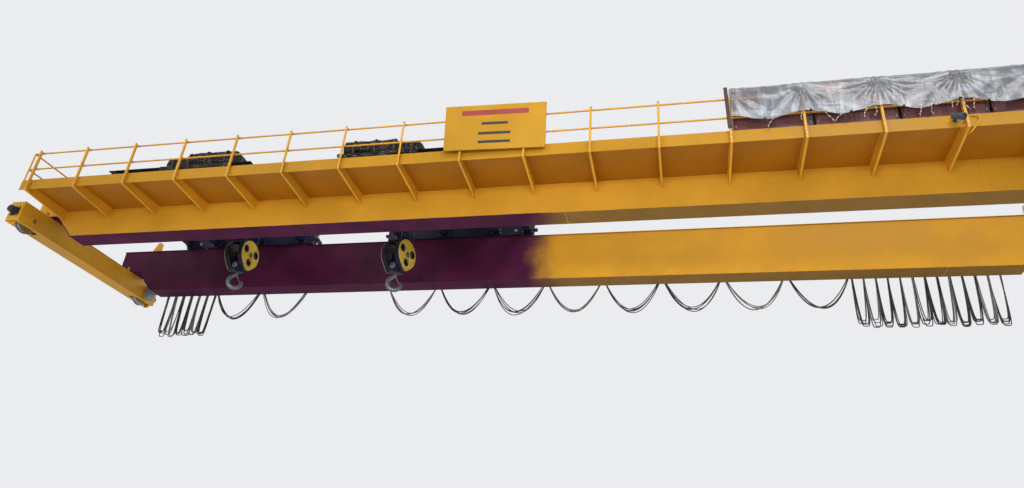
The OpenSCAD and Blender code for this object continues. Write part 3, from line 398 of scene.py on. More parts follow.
def plain_finish(name, colour, rough=0.5, metal=0.0, grain=80.0, depth=0.0006, wear=0.3, **more):
    """Even finish with a slight cloud, fine grain and handling marks."""
    f = Finish(name)
    cloud, fine = f.noise(3.1, 4.0, 0.6), f.noise(grain, 3.0, 0.6)
    tone = f.shades(cloud.ramp(0.3, 0.7), colour, 1.0 - wear * 0.5, 1.0 + wear * 0.4)
    tone = f.mix(f.noise(26.0, 5.0, 0.75).ramp(0.62, 0.72) * wear, tone, shade(colour, 0.5))
    return f.done(f.shader(tone, cloud.ramp(0.3, 0.7, rough - 0.06, rough + 0.10), metal,
                           Normal=f.bump(fine * 0.5 + cloud, depth, 0.6), **more))


FINISHES = {}


def make_finishes(colours):
    """Makes every material once and gives each carried-over node its own."""
    yellow, maroon, tan = colours.yellow[:], colours.maroon[:], colours.tan[:]
    navy, guard = colours.navy[:], colours.guard[:]
    made = {
        "front_web": paint("front_web_paint", yellow, seams=SEAMS["front"]),
        # The rear web is the yellow darkened to 0.97: painted shade
        "rear_web": paint("rear_web_paint", shade(yellow, 0.97), seams=SEAMS["rear"], sheen=0.16,
                          # Maroon zone on the left half: painted shade
                          painted_shade=(maroon, -0.15, 0.95), gloss=0.5),
        # Tan on the faces that look down: painted shade
        "front_flange": paint("front_flange_paint", yellow, under=tan, seams=(1.5,),
                              # Maroon zone on the left half, a lighter copy of the maroon: painted
                              # shade
                              painted_shade=(shade(maroon, 1.25), 0.4, 1.7), gloss=0.6, sheen=0.12),
        # Tan, darkened to 0.95, on the faces that look down: painted shade
        "rear_flange": paint("rear_flange_paint", yellow, under=shade(tan, 0.95),
                             # Maroon zone on the left half, a lighter copy of the maroon: painted
                             # shade
                             seams=SEAMS["rear"], painted_shade=(shade(maroon, 1.1), -0.2, 1.1),
                             gloss=0.6, sheen=0.14),
        "bridge": paint("bridge_paint", yellow),
        # The walkway's yellow darkened to 0.97, and the orange under its floor: painted shade
        "walkway": paint("walkway_paint", shade(yellow, 0.97), under=(0.47, 0.175, 0.004)),
        # The edge plate is the yellow darkened to 0.70: painted shade
        "edge": paint("edge_plate_paint", shade(yellow, 0.70), dirt=0.5, sheen=0.14),
        "rail_paint": paint("handrail_paint", yellow, bare=maroon, dirt=0.5),
        # The brackets are the yellow lightened to 1.15: painted light, where the lamps reach them
        # little
        "bracket": paint("bracket_paint", shade(yellow, 1.15), dirt=0.3),
        "sign": paint("sign_paint", (0.535, 0.270, 0.016), gloss=0.44, dirt=0.25, sheen=0.18),
        "sign_band": plain_finish("sign_band_red", (0.33, 0.035, 0.030), 0.4),
        "sign_bar": plain_finish("sign_bar_black", (0.018, 0.017, 0.016), 0.42),
        "trolley": paint("trolley_navy_paint", navy, bare=(0.16, 0.08, 0.06), dirt=0.26),
        "deck": checker_deck("trolley_deck_plate", shade(navy, 1.25)),
        "block": paint("block_navy_paint", shade(navy, 1.1), bare=(0.2, 0.12, 0.08)),
        **{f"{side}_guard": guard_paint(f"{side}_guard_paint", guard, navy,
                                        middle(f"{side}_block_sheaves"), TURNS[side])
           for side in SIDES},
        "rail": worn_steel("rail_head_steel", (0.42, 0.40, 0.38), 0.75, 0.30,
                           grain=(2.0, 160.0, 160.0)),
        "wheel": worn_steel("wheel_steel", (0.40, 0.39, 0.38), 0.5, 0.34),
        "drum": worn_steel("drum_steel", (0.30, 0.29, 0.28), 0.35, 0.36),
        "sheave": worn_steel("sheave_iron", (0.22, 0.21, 0.20), 0.45, 0.42),
        "hook": worn_steel("forged_hook_steel", (0.15, 0.185, 0.20), 0.20, 0.36, 0.75),
        "latch": worn_steel("latch_steel", (0.34, 0.33, 0.31), 0.35, 0.42),
        "bolt": worn_steel("zinc_bolt_steel", (0.46, 0.46, 0.45), 0.3, 0.36),
        "galvanised": worn_steel("galvanised_steel", (0.50, 0.51, 0.52), 0.14, 0.46),
        "drive": paint("drive_grey_paint", (0.22, 0.235, 0.25), bare=(0.10, 0.05, 0.03)),
        "cowl": plain_finish("fan_cowl_black", (0.020, 0.021, 0.023), 0.42),
        "rubber": plain_finish("buffer_rubber", (0.020, 0.020, 0.020), 0.72, grain=120.0,
                               depth=0.0015),
        "cable": plain_finish("cable_sheath", (0.030, 0.030, 0.032), 0.46, grain=160.0,
                              depth=0.0008),
        "cable_grey": plain_finish("grey_cable_sheath", (0.16, 0.16, 0.165), 0.5, grain=160.0),
        "cabinet": paint("cabinet_paint", (0.085, 0.022, 0.024), gloss=0.44, dirt=0.3),
        "door": paint("cabinet_door_paint", (0.115, 0.030, 0.030), gloss=0.42, dirt=0.3),
        "film": clear_film("clear_film", colours.clear_film[:]),
        "tie": plain_finish("tie_tape", (0.50, 0.44, 0.38), 0.6, grain=220.0, depth=0.001),
        "dark_tie": plain_finish("dark_tie_tape", (0.018, 0.018, 0.022), 0.5, grain=220.0),
        "black_film": black_film("black_wrap_film"),
        "cover_rope": plain_finish("cover_rope", (0.085, 0.062, 0.036), 0.8, grain=300.0,
                                   depth=0.002),
        "rope": twisted_rope("hoist_rope_steel"),
        "lamp": plain_finish("lamp_grey_casting", (0.060, 0.088, 0.098), 0.45, 0.2, grain=140.0),
        "glass": plain_finish("lamp_glass", (0.05, 0.065, 0.075), 0.08, wear=0.1, depth=0.0001,
                              Coat_Weight=0.8),
        "post_batten": plain_finish("batten_wood", (0.065, 0.032, 0.022), 0.7),
    }
    FINISHES.update(made)
    given = {
        "front_girder_webs": "front_web", "front_girder_flanges": "front_flange",
        "rear_girder_webs": "rear_web", "rear_girder_flanges": "rear_flange",
        "girder_end_plates": "bridge", "trolley_rails": "rail", "trolley_end_stops": "bridge",
        "end_carriages": "bridge", "carriage_buffers": "rubber", "bridge_wheels": "wheel",
        "bridge_drives": "drive", "walkway_floor": "walkway", "walkway_edge": "edge",
        "walkway_brackets": "bracket", "handrail_posts": "rail_paint",
        "handrail_rails": "rail_paint", "sign_board": "sign", "sign_arms": "rail_paint",
        "walkway_cabinets": "cabinet", "cover_sheet": "film", "walkway_lamp": "lamp",
        "festoon_track": "galvanised", "right_festoon": "cable", "left_festoon": "cable",
    }
    for side in SIDES:
        given.update({f"{side}_{node}": finish for node, finish in {
            "trolley_side_beams": "trolley", "trolley_cross_beams": "trolley",
            "trolley_deck": "deck", "trolley_wheels": "wheel", "trolley_buffers": "rubber",
            "tow_arm": "trolley", "hoist_drum": "drum", "hoist_drive": "drive",
            "equaliser": "sheave", "wrapped_drive": "black_film", "ropes": "rope",
            "block_guards": f"{side}_guard", "block_sheaves": "sheave", "block_body": "block",
            "hook": "hook", "hook_latch": "latch"}.items()})
    for name, node in NODES.items():
        node.data.materials.clear()
        node.data.materials.append(made[given[name]])


# Surfaces

def faces_of(rows, cols, round_rows=False, round_cols=False):
    """Four-cornered faces of a grid of rows by cols points, closed either way if asked."""
    i = np.arange(rows if round_rows else rows - 1)[:, None]
    j = np.arange(cols if round_cols else cols - 1)[None]
    down, along = (i + 1) % rows, (j + 1) % cols
    return np.stack(np.broadcast_arrays(i * cols + j, down * cols + j, down * cols + along,
                                        i * cols + along), -1).reshape(-1, 4)


def xyz(x, y, z):
    """Points from their coordinates, which are numbers or arrays that fit each other."""
    return np.stack(np.broadcast_arrays(x, y, z), -1)


def grid(*axes):
    """Every combination of the axes' values, as one flat array to an axis."""
    return [values.ravel() for values in np.meshgrid(*axes, indexing="ij")]


def unit(vectors):
    return vectors / np.maximum(np.linalg.norm(vectors, axis=-1, keepdims=True), 1e-12)


def across(axes):
    """Two unit vectors square to each axis and to each other."""
    ref = np.where(np.abs(axes[..., 2:]) < 0.9, [0.0, 0.0, 1.0], [1.0, 0.0, 0.0])
    first = unit(np.cross(ref, axes))
    return first, np.cross(axes, first)


def upright_turn(angle):
    """Matrix of a turn about Z."""
    c, s = math.cos(angle), math.sin(angle)
    return np.array([[c, -s, 0], [s, c, 0], [0, 0, 1]])


class Mould:
    """Gathers surfaces into one mesh. A surface is an array of rows by cols points."""

    def __init__(self):
        self.points, self.faces, self.count = [], [], 0

    def put(self, points, faces):
        self.points.append(points.reshape(-1, 3))
        self.faces.append(faces + self.count)
        self.count += points.size // 3

    def sheets(self, points, round_rows=False, round_cols=False):
        """Adds one surface (rows, cols, 3), or many of them (count, rows, cols, 3)."""
        points = np.asarray(points, float)
        points = points[None] if points.ndim == 3 else points
        count, rows, cols = points.shape[:3]
        faces = faces_of(rows, cols, round_rows, round_cols)
        shift = np.arange(count)[:, None, None] * rows * cols
        self.put(points, (faces[None] + shift).reshape(-1, 4))
        return self

    def tubes(self, path, section, up=UP, closed=False):
        """Carries a section (points of sideways and upward distance) along one or many paths.

        Each ring stands square to the path, with its second direction kept near up, and both
        ends are drawn together to a point.
        """
        path = np.asarray(path, float)
        path = path[None] if path.ndim == 2 else path
        section = np.asarray(section, float)
        if closed:
            ahead = np.roll(path, -1, axis=1) - np.roll(path, 1, axis=1)
        else:
            ahead = np.gradient(path, axis=1)
        ahead = unit(ahead)
        side = unit(np.cross(ahead, np.broadcast_to(up, ahead.shape)))
        over = np.cross(side, ahead)
        rings = (path[:, :, None] + side[:, :, None] * section[..., 0, None]
                 + over[:, :, None] * section[..., 1, None])
        if closed:
            return self.sheets(rings, True, True)
        ends = [np.repeat(path[:, k:k + 1, None], rings.shape[2], 2)
                for k in (0, path.shape[1] - 1)]
        return self.sheets(np.concatenate([ends[0], rings, ends[1]], 1), round_cols=True)

    def turned(self, profile, centres, axes, sides=12, start=0.0):
        """Turns a profile of (radius, height) about an axis at each centre."""
        profile = np.asarray(profile, float)
        centres = np.atleast_2d(np.asarray(centres, float))
        axes = unit(np.broadcast_to(np.asarray(axes, float), centres.shape))
        first, second = across(axes)
        angle = turns(sides, start)
        spoke = (first[:, None] * np.cos(angle)[None, :, None]
                 + second[:, None] * np.sin(angle)[None, :, None])
        points = (centres[:, None, None] + spoke[:, None] * profile[None, :, 0, None, None]
                  + axes[:, None, None] * profile[None, :, 1, None, None])
        return self.sheets(points, round_cols=True)

    def blocks(self, low, high, edge=0.003, axis=2, corner=3):
        """Blocks between opposite corners, with rounded upright edges and chamfered ends.

        Their outline has quarter circles of radius edge at its corners and is carried along
        the axis; the first and last ring are drawn in by edge.
        """
        low, high = np.atleast_2d(np.asarray(low, float)), np.atleast_2d(np.asarray(high, float))
        low, high = np.minimum(low, high), np.maximum(low, high)
        order = [(axis + 1) % 3, (axis + 2) % 3, axis]
        low, high = low[:, order], high[:, order]
        centre, half = (low + high) / 2, (high - low) / 2
        quarter = np.repeat(np.arange(4), corner)
        angle = (quarter + np.tile(np.linspace(0, 1, corner), 4)) * (math.pi / 2)
        sx, sy = np.array([1, -1, -1, 1])[quarter], np.array([1, 1, -1, -1])[quarter]
        inset = np.array([1.0, 0.0, 0.0, 1.0])[None, :, None] * edge
        x = (sx * (half[:, :1] - edge))[:, None] + (edge - inset) * np.cos(angle)
        y = (sy * (half[:, 1:2] - edge))[:, None] + (edge - inset) * np.sin(angle)
        z = np.stack([low[:, 2], low[:, 2] + edge, high[:, 2] - edge, high[:, 2]], 1)[:, :, None]
        walls = xyz(x + centre[:, 0, None, None], y + centre[:, 1, None, None], z)
        ends = xyz(centre[:, :1], centre[:, 1:2], np.stack([low[:, 2], high[:, 2]], 1))
        ends = np.repeat(ends[:, :, None], walls.shape[2], 2)
        points = np.concatenate([ends[:, :1], walls, ends[:, 1:]], 1)
        back = np.argsort(order)
        return self.sheets(points[..., back], round_cols=True)

    def bolts(self, centres, axes, flats=0.036, washer=True):
        """Hexagon heads: a six-sided prism 0.62 of the flats high, drawn in at the top, and a
        washer of 12 sides under it."""
        r = flats / math.sqrt(3)
        base = flats * 0.10 if washer else 0.0
        if washer:
            self.turned([(0, 0), (r * 1.28, 0), (r * 1.28, base), (0, base)], centres, axes, 12)
        top = base + flats * 0.62
        return self.turned([(0, base * 0.5), (r, base * 0.5), (r, top - r * 0.16), (r * 0.82, top),
                            (0, top)], centres, axes, 6)

    def moved(self, turn, shift):
        """Turns every point by a matrix and then shifts it."""
        self.points = [part @ turn.T + np.asarray(shift) for part in self.points]
        return self

    def mesh(self, name, crease=0.65):
        """Makes the mesh: doubles are merged, so poles and seams close, faces turn outwards,
        and edges sharper than the crease stay sharp."""
        points, faces = np.concatenate(self.points), np.concatenate(self.faces)
        mesh = bpy.data.meshes.new(name)
        mesh.from_pydata(points.tolist(), [], faces.tolist())
        work = bmesh.new()
        work.from_mesh(mesh)
        bmesh.ops.remove_doubles(work, verts=work.verts, dist=2e-6)
        bmesh.ops.dissolve_degenerate(work, edges=work.edges, dist=1e-7)
        bmesh.ops.recalc_face_normals(work, faces=work.faces)
        work.to_mesh(mesh)
        work.free()
        mesh.polygons.foreach_set("use_smooth", np.ones(len(mesh.polygons), bool))
        mesh.set_sharp_from_angle(angle=crease)
        return mesh


def turns(count, start=0.0):
    """Angles that part a full turn evenly."""
    return start + np.arange(count) * (2 * math.pi / count)


def flat_points(radius, angle, radius_2=None):
    """Points (radius cos angle, radius_2 sin angle); the second radius is the first if unset."""
    radius_2 = radius if radius_2 is None else radius_2
    return np.stack([radius * np.cos(angle), radius_2 * np.sin(angle)], -1)


def circle(radius, sides):
    """Section of a round tube."""
    return flat_points(radius, turns(sides))


def corners(centre, *reach):
    """Corners of a box round a centre; an axis with a reach of 0 stays flat."""
    return np.asarray(centre, float) + xyz(*grid(*((-r, r) if r else (0.0,) for r in reach)))


def pin(radius, half):
    """Profile of a pin that reaches half to each side."""
    return [(0, -half), (radius, -half), (radius, half), (0, half)]


def hoop(radius, low, width, height, taper=0.0):
    """Closed profile of a hoop whose outer side is lower by the taper at both edges."""
    outer, top = radius + width, low + height
    return [(radius, low), (outer, low + taper), (outer, top - taper), (radius, top),
            (radius, low)]


def ring(centre, radius, angles, axis=0):
    """Points round a centre, in the plane square to X (axis 0) or to Y (axis 1)."""
    x, y, z = centre
    away, rise = radius * np.cos(angles), radius * np.sin(angles)
    return xyz(x, y + away, z + rise) if axis == 0 else xyz(x + away, y, z + rise)


def smooth_path(points, count):
    """A path through the points by a cardinal cubic, at count evenly spread parameters."""
    p = np.asarray(points, float)
    p = np.concatenate([2 * p[:1] - p[1:2], p, 2 * p[-1:] - p[-2:-1]])
    t = np.linspace(0, len(p) - 3 - 1e-9, count)
    k, s = t.astype(int), (t % 1)[:, None]
    a, b, c, d = p[k], p[k + 1], p[k + 2], p[k + 3]
    return 0.5 * (2 * b + (c - a) * s + (2 * a - 5 * b + 4 * c - d) * s ** 2
                  + (3 * b - a - 3 * c + d) * s ** 3)


def creases(u, v, seed, size, count=9):
    """Creased film: the mean of triangle waves |2 frac(k.p + phase) - 1| in many directions,
    over a plane that slow sines warp, so that flat facets meet in sharp ridges; 0 to 1."""
    rng = np.random.default_rng(seed)
    warp = rng.uniform(0, 2 * math.pi, 4)
    wu = u + 0.35 * size * (np.sin(v * 1.7 / size + warp[0]) + np.sin(u * 1.1 / size + warp[1]))
    wv = v + 0.35 * size * (np.sin(u * 1.5 / size + warp[2]) + np.sin(v * 1.3 / size + warp[3]))
    total = np.zeros(np.broadcast(u, v).shape)
    weight = 0.0
    for angle, period, phase in zip(rng.uniform(0, math.pi, count),
                                    size * rng.uniform(0.7, 2.6, count),
                                    rng.uniform(0, 1, count)):
        wave = (wu * math.cos(angle) + wv * math.sin(angle)) / period + phase
        total = total + period * np.abs(2 * (wave - np.floor(wave)) - 1)
        weight += period
    return total / weight


def piece(name, mould, finish, body, stands_for=(), crease=0.65):
    """Turns a mould into a finished piece that rides on a body; with two, it stays where drawn."""
    obj = bpy.data.objects.new(name, mould.mesh(name, crease))
    bpy.context.scene.collection.objects.link(obj)
    obj.data.materials.append(FINISHES[finish])
    if isinstance(body, tuple):
        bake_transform(obj)
    else:
        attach(obj, body)
    if stands_for:
        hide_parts(*stands_for)
    return obj


def trolley_x(side, local):
    """Place along the girders of a point given from the middle of a trolley."""
    return middle(f"{side}_trolley_side_beams").x + SIDES[side] * np.asarray(local, float)


class CraneStep:
    """What the steps share: they are undoable and only report when they are done."""

    bl_options = {"REGISTER", "UNDO"}


class CRANE_OT_stage(CraneStep, bpy.types.Operator):
    """Sets the camera, the soft lights, the pale floor and the backdrop"""

    bl_idname = "crane.stage"
    bl_label = "Stage"

    def execute(self, context):
        scene = context.scene
        scene.view_settings.view_transform = "Standard"
        self.camera(scene)
        self.floor(scene)
        self.lights(scene)
        self.backdrop(scene)
        return {"FINISHED"}

    def camera(self, scene):
        """The photograph's camera: its focal length as a share of the picture's width, its
        place and its turns about X, Y and Z."""
        focal_pixels, picture_pixels, sensor = 740.05, 1024, 36.0
        lens = bpy.data.cameras.new("view")
        lens.sensor_width, lens.lens = sensor, focal_pixels / picture_pixels * sensor
        lens.clip_start, lens.clip_end = 0.1, 500.0
        camera = bpy.data.objects.new("view", lens)
        camera.location = (4.141, -16.794, -8.868)
        camera.rotation_euler = [math.radians(a) for a in (118.06018, -4.16670, 12.43241)]
        scene.collection.objects.link(camera)
        scene.camera = camera

    def floor(self, scene):
        """A floor 10.5 m below the runway rails, 180 m on a side."""
        reach, level, tone = 90.0, -10.5, scene.crane_colours.floor[:]
        x, y = np.meshgrid([-reach, reach], [-reach, reach], indexing="ij")
        mesh = Mould().sheets(xyz(x, y, level)).mesh("floor")
        if mesh.polygons[0].normal.z < 0:
            mesh.flip_normals()
        ground = bpy.data.objects.new("floor", mesh)
        scene.collection.objects.link(ground)
        f = Finish("floor_grey")
        clouds = f.shades(f.noise(0.2).ramp(0.3, 0.7), tone, 0.97, 1.0)
        mesh.materials.append(f.done(f.shader(clouds, 0.8)))

    def lights(self, scene):
        """Round area lights: name, place, point aimed at, size, power, spread in degrees."""
        for name, place, target, size, power, spread in (
                ("key", (16.0, -30.0, 20.0), (1.0, 0.0, 0.5), 16.0, 5600.0, 180.0),
                ("left_fill", (-22.0, -30.0, 12.0), (-6.0, -1.0, 0.6), 14.0, 1500.0, 180.0),
                ("low_front", (4.0, -46.0, -3.0), (1.0, -1.5, 1.4), 10.0, 620.0, 50.0),
                ("behind", (-6.0, 28.0, 10.0), (0.0, 0.0, 0.5), 16.0, 3000.0, 180.0)):
            light = bpy.data.lights.new(name, "AREA")
            light.shape, light.size, light.energy = "DISK", size, power
            light.spread = math.radians(spread)
            lamp = bpy.data.objects.new(name, light)
            aim = Vector(target) - Vector(place)
            lamp.location, lamp.rotation_euler = place, aim.to_track_quat("-Z", "Y").to_euler()
            scene.collection.objects.link(lamp)

    def backdrop(self, scene):
        """White light from all round, and a pale grey where the camera looks past the crane."""
        world = bpy.data.worlds.new("backdrop")
        world.use_nodes = True
        scene.world = world
        nodes, links = world.node_tree.nodes, world.node_tree.links
        nodes.clear()
        ray, out = nodes.new("ShaderNodeLightPath"), nodes.new("ShaderNodeOutputWorld")
        seen, both = nodes.new("ShaderNodeMath"), nodes.new("ShaderNodeMixShader")
        seen.operation = "MAXIMUM"
        links.new(ray.outputs["Is Camera Ray"], seen.inputs[0])
        links.new(ray.outputs["Is Transmission Ray"], seen.inputs[1])
        links.new(seen.outputs[0], both.inputs[0])
        for k, (colour, strength) in enumerate((((1.0, 1.0, 1.0, 1.0), 0.54),
                                                ((0.83, 0.84, 0.86, 1.0), 1.0)), 1):
            glow = nodes.new("ShaderNodeBackground")
            glow.inputs["Color"].default_value = colour
            glow.inputs["Strength"].default_value = strength
            links.new(glow.outputs[0], both.inputs[k])
        links.new(both.outputs[0], out.inputs["Surface"])


class CRANE_OT_finishes(CraneStep, bpy.types.Operator):
    """Makes the paints, steels and films and lays them on the frame's nodes"""

    bl_idname = "crane.finishes"
    bl_label = "Finishes"

    def execute(self, context):
        make_finishes(context.scene.crane_colours)
        return {"FINISHED"}


class CRANE_OT_clear_cover(CraneStep, bpy.types.Operator):
    """Lays the clear film over the cabinets and hangs it outside the handrail"""

    bl_idname = "crane.clear_cover"
    bl_label = "Clear cover"

    def execute(self, context):
        depth = context.scene.crane_sizes.crease
        low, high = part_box("cover_sheet")
        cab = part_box("walkway_cabinets")[1]
        rows, cols, first_post, rail_top, hem = 260, 96, POSTS[12], 1.952, 1.314
        x = np.linspace(low.x + 0.01, high.x - 0.01, rows)[:, None]
        # Cross section: behind the cabinets, over their tops, over the rail, down to the hem
        corners = np.array([[cab.y + 0.012, low.z + 0.20], [cab.y + 0.014, cab.z - 0.10],
                            [cab.y - 0.03, cab.z + 0.012], [cab.y - 0.47, cab.z + 0.012],
                            [POST_Y - 0.004, rail_top], [POST_Y - 0.026, 1.80],
                            [POST_Y - 0.022, hem]])
        steps = np.concatenate([[0], np.cumsum(np.linalg.norm(np.diff(corners, axis=0), axis=1))])
        back, front, rail, outside, end = steps[1], steps[3], steps[4], steps[5], steps[6]
        v = np.linspace(0, 1, cols)[None] * end
        y, z = np.interp(v, steps, corners[:, 0]), np.interp(v, steps, corners[:, 1])
        # Between posts the film sags inwards from the rail, and its hem hangs lower
        sag = np.sin(math.pi * ((x - first_post) / BAY)) ** 2
        hang = np.clip((v - rail) / (end - rail), 0, 1)
        wide = creases(x * 0.8, v * 0.8, 5, 1.1, 5)
        fine = creases(x, v, 12, 0.34, 11)
        fold = creases(x * 1.6 + 0.8 * v, v * 0.5, 3, 0.42, 5)
        push = depth * (1.3 * wide + 0.22 * fine + 0.3 * fold + 1.6 * self.pulls(x, v - rail) - 0.8)
        over = np.clip((v - front + 0.06) / 0.2, 0, 1)
        slack = np.sin(math.pi * np.clip((v - front) / (rail - front), 0, 1)) * (v < rail)
        y = y - np.where(v > front, push * 0.9 + 0.02, 0.0) * over + 0.035 * sag * hang ** 1.5
        z = z + np.where(v <= rail, push * (0.5 + 0.5 * over) + 0.004, 0.0)
        peak = np.exp(-(np.abs((x - first_post + BAY / 2) % BAY - BAY / 2) / 0.22) ** 1.3)
        near_rail = np.exp(-((v - rail) / 0.24) ** 2)
        z = z + (0.05 * peak - 0.015) * near_rail * (v <= outside)
        z = z - 0.055 * slack * (0.35 + 0.65 * sag) - hang * (0.13 * sag + 0.05 * fold - 0.03)
        y = np.where(v < back, y + push * 0.5, y)
        x = x + (0.03 * (fine - 0.5)) * (1 - np.abs(2 * (x - low.x) / (high.x - low.x) - 1) ** 8)
        points = xyz(x, y, z)
        cover = piece("clear_cover", Mould().sheets(points), "film", "bridge",
                      ("cover_sheet",), crease=0.5)
        ties = self.ties(points)
        return {"FINISHED"}

    def pulls(self, x, v):
        """Folds that pull from the top of each post under the cover: a triangle wave of the
        angle about it, 13 to a turn, that grows over 0.1 m and fades as exp(-distance / 0.55)."""
        total = 0.0
        for k, post in enumerate(POSTS[12:17]):
            away = np.hypot(x - post, v)
            angle = np.arctan2(v, x - post) * (13 / (2 * math.pi)) + 0.37 * k
            wave = 1 - np.abs(2 * (angle - np.floor(angle)) - 1)
            total = total + wave * np.exp(-away / 0.55) * np.clip(away / 0.1, 0, 1)
        return total

    def ties(self, points):
        """Tapes knotted through the hem: each is a flat strip that drops from the hem, twists
        by a turn and a half and curls inwards, with a small knot at its head."""
        rng = np.random.default_rng(21)
        hem = points[:, -1]
        at = np.sort(rng.choice(np.arange(6, len(hem) - 6), 26, replace=False))
        head = hem[at] + [0.0, -0.004, 0.012]
        count, steps = len(at), 16
        t = np.linspace(0, 1, steps)[None, :, None]
        length = rng.uniform(0.16, 0.34, count)[:, None, None]
        swing = rng.uniform(-0.55, 0.55, count)[:, None, None]
        path = head[:, None] + np.concatenate([
            swing * length * t + 0.02 * np.sin(5 * t + swing * 9),
            0.05 * length * np.sin(3 * t) + 0.05 * t * t,
            -length * (t - 0.12 * t * t)], -1)
        turn = (t[..., 0] * 9.4 + rng.uniform(0, 6, count)[:, None])[..., None]
        flat = np.array([[1, 0.08], [-1, 0.08], [-1, -0.08], [1, -0.08]])[None, None] * 0.011
        c, s = np.cos(turn), np.sin(turn)
        section = np.stack([flat[..., 0] * c - flat[..., 1] * s,
                            flat[..., 0] * s + flat[..., 1] * c], -1)
        angle = np.linspace(0, math.pi, 7)
        knot = np.stack([0.024 * np.sin(angle), -0.021 * np.cos(angle)], -1)
        made = []
        for name, finish, chosen in (("cover_ties", "tie", np.arange(count) % 3 > 0),
                                     ("dark_ties", "dark_tie", np.arange(count) % 3 == 0)):
            mould = Mould().tubes(path[chosen], section[chosen], up=(0.0, 1.0, 0.02))
            mould.turned(knot, head[chosen] + [0.0, -0.006, 0.0], (0.3, 0.2, 1.0), 8)
            made.append(piece(name, mould, finish, "bridge"))
        return tuple(made)


class CRANE_OT_black_covers(CraneStep, bpy.types.Operator):
    """Wraps the machinery on each outer deck in black film tied with rope"""

    bl_idname = "crane.black_covers"
    bl_label = "Black covers"

    def execute(self, context):
        depth = context.scene.crane_sizes.crumple
        rows, cols, power = 230, 110, 3.4
        ties = np.array([0.16, 0.42, 0.66, 0.88])
        t, a = np.linspace(0, 1, rows)[:, None], turns(cols)[None]
        # Squared-off oval |cos|^p + |sin|^p = 1 that steps down over the lower end
        oval = (np.abs(np.cos(a)) ** power + np.abs(np.sin(a)) ** power) ** (-1 / power)
        step = 1 - 0.27 / (1 + np.exp(-(t - 0.70) * 34))
        end = np.clip(np.minimum(t, 1 - t) / 0.045, 0, 1)
        end = np.sqrt(np.maximum(1 - (1 - end) ** 2, 0))
        waist = np.exp(-((t - ties[None]) / 0.012) ** 2).sum(1, keepdims=True)
        for number, side in enumerate(SIDES):
            low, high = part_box(f"{side}_wrapped_drive")
            length, width, height = high.x - low.x, high.y - low.y, high.z - low.z
            u, wrap = t * length, (np.cos(a) * 0.37, np.sin(a) * 0.37)
            folds = creases(u + 0.9 * wrap[0], 1.4 * wrap[1] + 0.5 * u, 31 + number, 0.34, 9)
            long = creases(u * 0.45 + wrap[1], 2.6 * wrap[0], 47 + number, 0.30, 7)
            pull = depth * (2.0 * folds + 1.9 * long - 0.7) * (1 - 0.75 * waist) + 0.022 * waist
            y = (width / 2 * oval * np.cos(a) * (0.84 + 0.16 * step) - pull * np.cos(a)) * end
            z = (height / 2 * oval * np.sin(a) * step - pull * np.sin(a)) * end
            z = z * 1.03 + height / 2 * step * 0.985
            z = np.maximum(z, 0.004 + 0.006 * np.abs(np.sin(9 * t + 3 * a)) * (np.sin(a) < 0))
            x = u + 0.03 * (long - 0.5) * end
            start = high.x if side == "left" else low.x
            points = xyz(start + SIDES[side] * x, (low.y + high.y) / 2 + y, low.z + z)
            mould = Mould().sheets(points, round_cols=True)
            cover = piece(f"{side}_black_cover", mould, "black_film", f"{side}_trolley",
                          (f"{side}_wrapped_drive",), crease=0.9)
            self.ropes(side, points, ties)
            self.skirt(side, low, high, number)
        return {"FINISHED"}

    def skirt(self, side, low, high, number):
        """Film over the deck's outer edge: a strip 3 mm thick that lies on the deck for 0.25 m,
        turns down over the edge and hangs 0.08 to 0.13 m, with folds 12 mm deep across it."""
        deck_low, deck_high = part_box(f"{side}_trolley_deck")
        run, hang, thick = 0.25, 0.08, 0.003
        x = np.linspace(low.x - 0.02, high.x - 0.02, 260)[:, None]
        s = np.linspace(-1, 1, 49)[None]
        lift = 0.004 + 0.012 * creases(x, s * 0.3, 71 + number, 0.22, 8)
        drop = np.clip(s, 0, 1) * (hang + 0.05 * creases(x, 0 * x, 83 + number, 0.5, 5))
        y = deck_low.y - np.clip(s, -1, 0) * run - lift * np.clip(1 + 3 * s, 0, 1)
        z = deck_high.z - drop + lift * np.clip(1 - 3 * s, 0, 1)
        outer = xyz(x, y, z)
        inner = outer + np.where((s > 0)[..., None], [0, thick, 0], [0, 0, -thick])
        loop = np.concatenate([outer, inner[:, ::-1]], 1)
        ends = [np.broadcast_to(loop[k].mean(0), loop[:1].shape) for k in (0, -1)]
        film = Mould().sheets(np.concatenate([ends[0], loop, ends[1]]), round_cols=True)
        piece(f"{side}_deck_film", film, "black_film", f"{side}_trolley",
              crease=0.9)

    def ropes(self, side, points, ties):
        """Ropes round the cover: closed rings that follow the film's waists, 7 mm outside it."""
        mould = Mould()
        for row in (ties * (len(points) - 1)).astype(int):
            for shift in (-0.010, 0.010):
                centre = points[row].mean(0)
                rope = points[row] + unit(points[row] - centre) * 0.007
                rope[:, 0] = centre[0] + shift
                mould.tubes(rope, circle(0.0085, 6), up=ALONG, closed=True)
        piece(f"{side}_cover_ropes", mould, "cover_rope", f"{side}_trolley")


